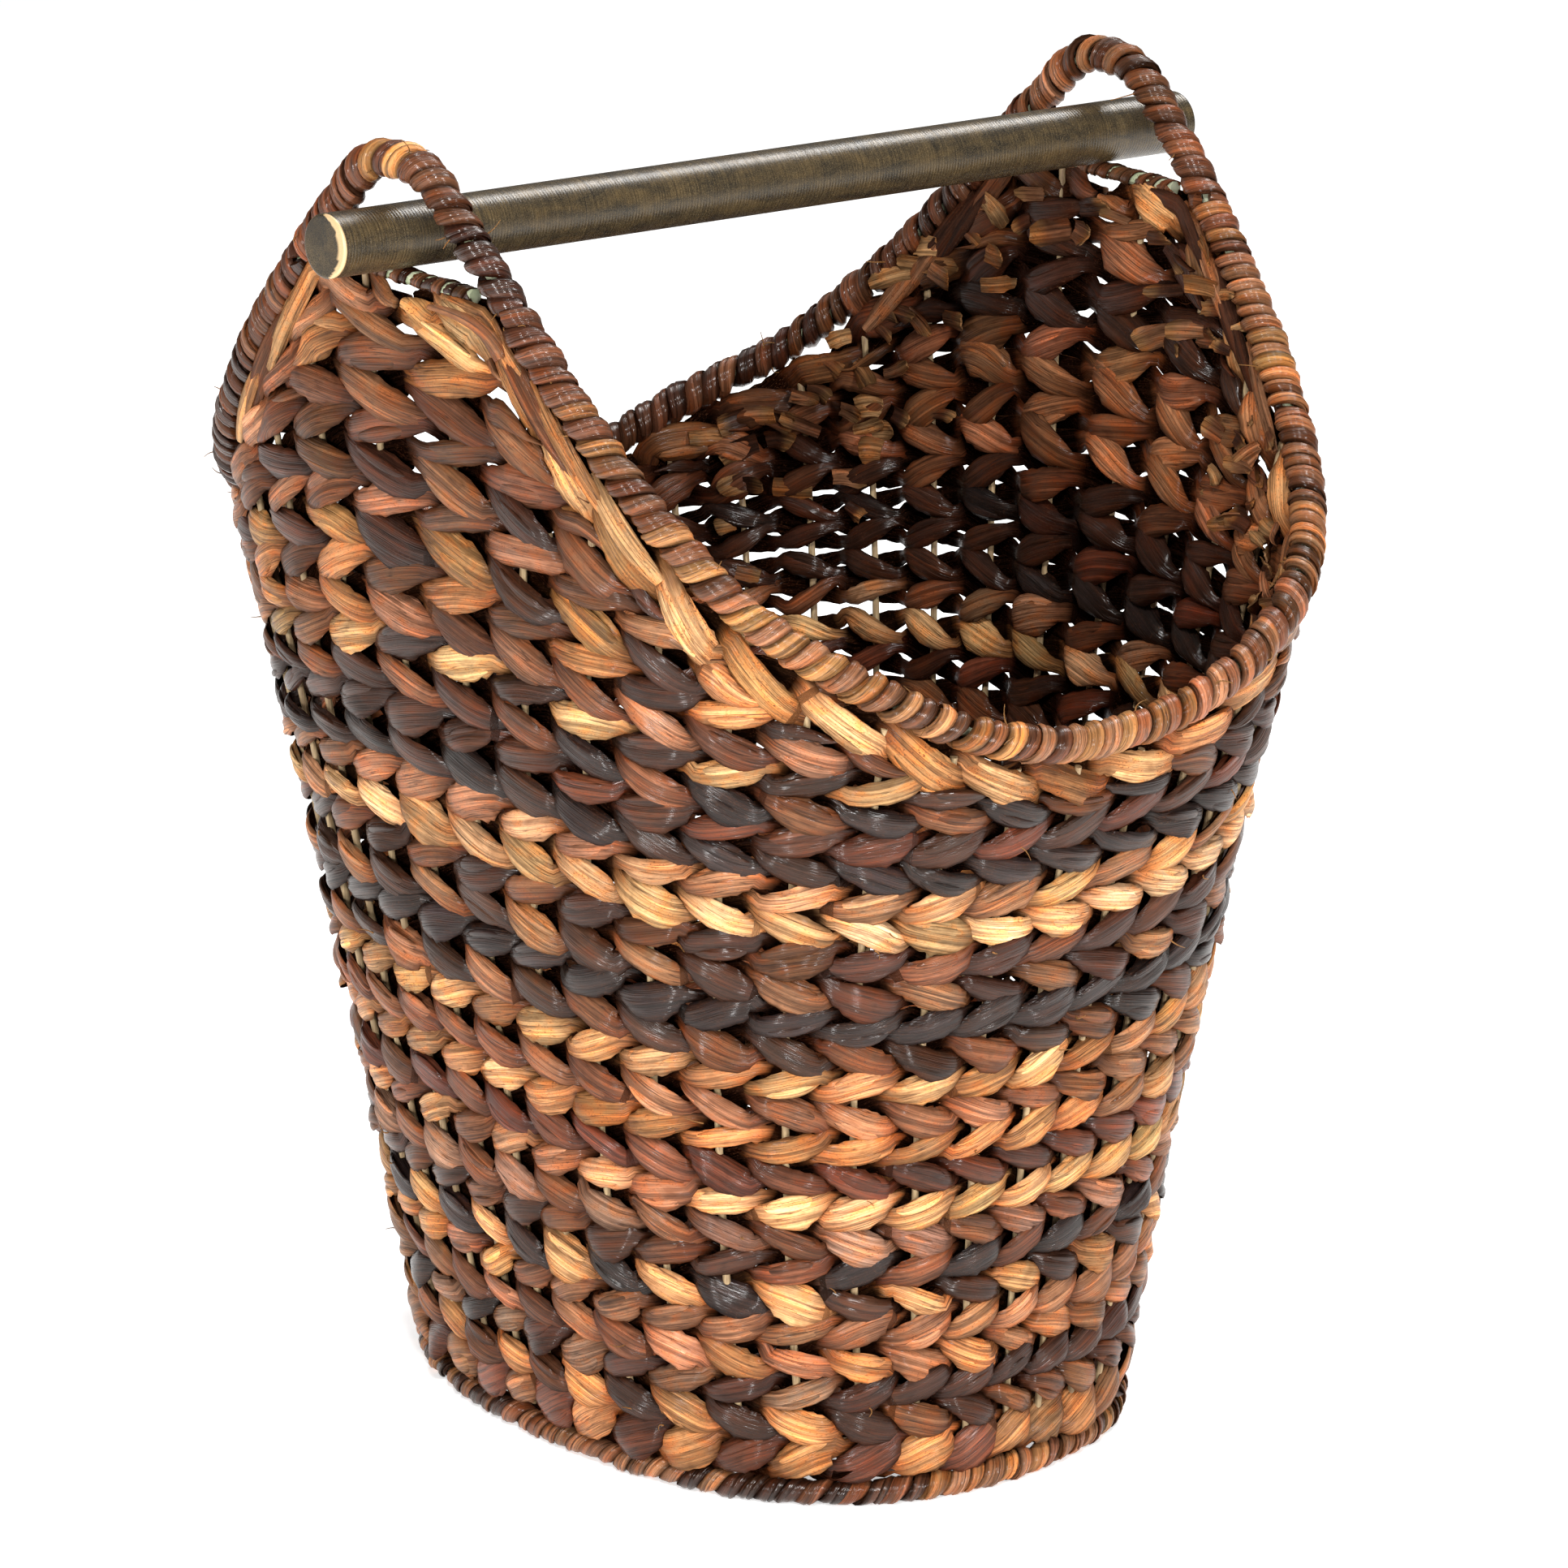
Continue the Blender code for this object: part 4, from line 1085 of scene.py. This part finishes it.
FLOOR_ROWS = 23
FLOOR_PITCH = 0.0127
FLOOR_EDGE_HEIGHT = 0.0148


def build_floor():
    """Twined rows across the long stakes, up to the wall on both sides."""
    store = Store()
    stakes = angle_at(np.arange(STAKES // 8, STAKES // 4))
    near = [float(wall_point(a, FLOOR_ROD_Y_HEIGHT)[0]) for a in stakes]
    xs = sorted(near + [-x for x in near])
    outline = wall_point(np.linspace(0, 2 * np.pi, 721), FLOOR_EDGE_HEIGHT)
    for r in range(FLOOR_ROWS):
        y = (r - (FLOOR_ROWS - 1) / 2) * FLOOR_PITCH
        inside = np.abs(outline[:, 1] - y) < 0.004
        limit = outline[inside, 0].max() - FLOOR_INSET + 0.003
        rng = np.random.default_rng(6000 + r)
        spans = np.array([-limit] + [x for x in xs if abs(x) < limit - 0.004] + [limit])
        last = len(spans) - 1.0
        place = np.linspace(0, last, int(last) * 8 + 1)
        count = len(place)
        x = np.interp(place, np.arange(len(spans)), spans)
        centre = np.stack([x, np.full(count, y), np.full(count, FLOOR_ROD_Y_HEIGHT + 0.0006)], -1)
        twine(store, rng, place, centre, np.tile([0.0, 0.0, 1.0], (count, 1)),
              np.full(count, 0.0062), 1 if r % 2 else -1, ("dbm", "bdr"), False)
    store.build("floor_weave", WEAVE, "leaf_brown", ("floor_panel",))


BARE_MIDDLE = 170  # bare wood: way round the bar, in degrees from +Y over the top
BARE_DEPTH = 0.0034
BARE_LENGTH = 0.0012
BAR_RING = 0.0015  # spacing of the fine rings turned into it
BAR_EDGE = 0.001  # rounding of its ends
BAR_SIDES = 56


def build_bar():
    """The turned bar: fine rings along it, rounded ends, and bare wood showing on one edge."""
    half = math.hypot(BAR_HALF_LENGTH, BAR_TILT)
    axis = unit(np.array([BAR_HALF_LENGTH, 0, -BAR_TILT]))
    s = np.linspace(-half + BAR_EDGE, half - BAR_EDGE, int(2 * half / BAR_RING) * 4)
    radius = BAR_RADIUS - 0.00008 + 0.00007 * np.cos(2 * np.pi * s / BAR_RING)
    cap = np.radians([90, 67.5, 45, 22.5])
    ends_s = half - BAR_EDGE + BAR_EDGE * np.sin(cap)
    ends_r = BAR_RADIUS - BAR_EDGE + BAR_EDGE * np.cos(cap)
    flat = np.array([0.0006, 0.004, 0.008, 0.0095, 0.0103, 0.0109])
    s = np.concatenate([np.full(6, -half), -ends_s, s, ends_s[::-1], np.full(6, half)])
    radius = np.concatenate([flat, ends_r, radius, ends_r[::-1], flat[::-1]])
    turn = 2 * np.pi * np.arange(BAR_SIDES) / BAR_SIDES
    across = np.array([0.0, 1.0, 0.0])
    rings = (np.cos(turn)[None, :, None] * across
             + np.sin(turn)[None, :, None] * np.cross(axis, across))
    verts = np.array([0, 0, BAR_HEIGHT]) + s[:, None, None] * axis + radius[:, None, None] * rings
    leaf = np.zeros(verts.shape)
    leaf[..., 0] = s[:, None]
    leaf[..., 1] = turn[None] * BAR_RADIUS
    tint = np.ones((len(s), BAR_SIDES, 4))
    tint[np.abs(s) >= half - 1e-9, :, :3] = 0.75
    # bare wood along one side of the -X end, widest level with the axis and thin at its tips
    side = np.clip(np.cos(turn - math.radians(BARE_MIDDLE)), 0, 1) ** 0.7
    bare = ((radius[:, None] > (BAR_RADIUS - BARE_DEPTH * side)[None])
            & (s[:, None] < -half + BARE_LENGTH) & (side > 0.25))
    tint[..., 3] = np.where(bare, 1.0, 0.0)
    store = Store()
    store.add(verts[:, ::-1], tint[:, ::-1], leaf[:, ::-1], False)
    store.build("handle_bar_turned", BRONZE, "bar_paint", ("handle_bar",), BAR_BODY, 30)


for build in (build_courses, build_ears, build_borders, build_rim, build_foot, build_sills,
              build_cut_ends, build_ear_leaves, build_loose_fibres, build_stakes, build_floor,
              build_bar):
    build()

for name in ("rim_core", "foot_core", "sill_wire_left", "sill_wire_right"):
    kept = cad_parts[name]
    for slot in kept.material_slots:
        slot.material = WIRE


# ---------------- studio
def aimed(made, place, way):
    """Put a light or a camera in its place and let it look this way."""
    made.location = place
    made.rotation_mode = "QUATERNION"
    made.rotation_quaternion = way.to_track_quat("-Z", "Y")


# place, point it is aimed at, width and height, watts
LIGHTS = {
    "key": ((-2.11, -0.77, 0.73), (0, 0, 0.25), (0.2, 0.5), 27),
    "front": ((-0.39, -2.2, 0.95), (0, 0, 0.25), (0.2, 0.5), 27),
    "over": ((-1.3, -1.5, 2.2), (0, 0, 0.25), (0.4, 0.4), 42),
    "top": ((0.5, 0.6, 2.6), (0, 0, 0.2), (1.8, 1.8), 26),
    "side": ((1.5, 0.45, 2.1), (0, 0, 0.3), (0.7, 0.7), 26),
}
FLOOR_REACH = 30.0
FLOOR_GLOW = 0.55
WORLD_STRENGTH = 0.16


def build_studio():
    """Pale paper floor, white surroundings and soft area lights."""
    made, tree, shader = new_material("paper_floor")
    grain = noise(tree, object_place(tree), (40, 40, 40), 3.0)
    colour = mixed(tree, spread(tree, grain, 0.3, 0.7), (0.90, 0.90, 0.895), (0.93, 0.93, 0.925))
    tree.links.new(colour, shader.inputs["Base Color"])
    shader.inputs["Roughness"].default_value = 0.9
    shader.inputs["Emission Color"].default_value = (1, 1, 1, 1)
    shader.inputs["Emission Strength"].default_value = FLOOR_GLOW
    mesh = bpy.data.meshes.new("floor_sheet")
    far = FLOOR_REACH
    mesh.from_pydata([(-far, -far, 0), (far, -far, 0), (far, far, 0), (-far, far, 0)], [],
                     [(0, 1, 2, 3)])
    mesh.materials.append(made)
    placed("floor_sheet", mesh)
    world = bpy.data.worlds.new("studio")
    bpy.context.scene.world = world
    world.use_nodes = True
    back = world.node_tree.nodes["Background"]
    back.inputs["Color"].default_value = (1.0, 1.0, 1.0, 1)
    back.inputs["Strength"].default_value = WORLD_STRENGTH
    for name, (place, aim, size, watts) in LIGHTS.items():
        data = bpy.data.lights.new(name, "AREA")
        data.shape = "RECTANGLE"
        data.size, data.size_y = size
        data.energy = watts
        aimed(placed(name, data), place, Vector(aim) - Vector(place))
    bpy.context.scene.view_settings.view_transform = "Standard"


CAMERA_AZIMUTH = -41.28
CAMERA_ELEVATION = 19.06
CAMERA_DISTANCE = 3.213
CAMERA_AIM = Vector((0, 0, 0.2))
LENS = 181.1
SHIFT_X, SHIFT_Y = 0.0096, 0.0808  # the photo is framed off the camera's axis


def build_camera():
    """The photo's viewing angle, as fitted to it."""
    data = bpy.data.cameras.new("camera")
    a, e = math.radians(CAMERA_AZIMUTH), math.radians(CAMERA_ELEVATION)
    back = Vector((math.sin(a) * math.cos(e), -math.cos(a) * math.cos(e), math.sin(e)))
    data.sensor_width = 36
    data.lens = LENS
    data.shift_x, data.shift_y = SHIFT_X, SHIFT_Y
    data.clip_start, data.clip_end = 0.05, 100
    camera = placed("camera", data)
    aimed(camera, CAMERA_AIM + back * CAMERA_DISTANCE, -back)
    bpy.context.scene.camera = camera


build_studio()
build_camera()
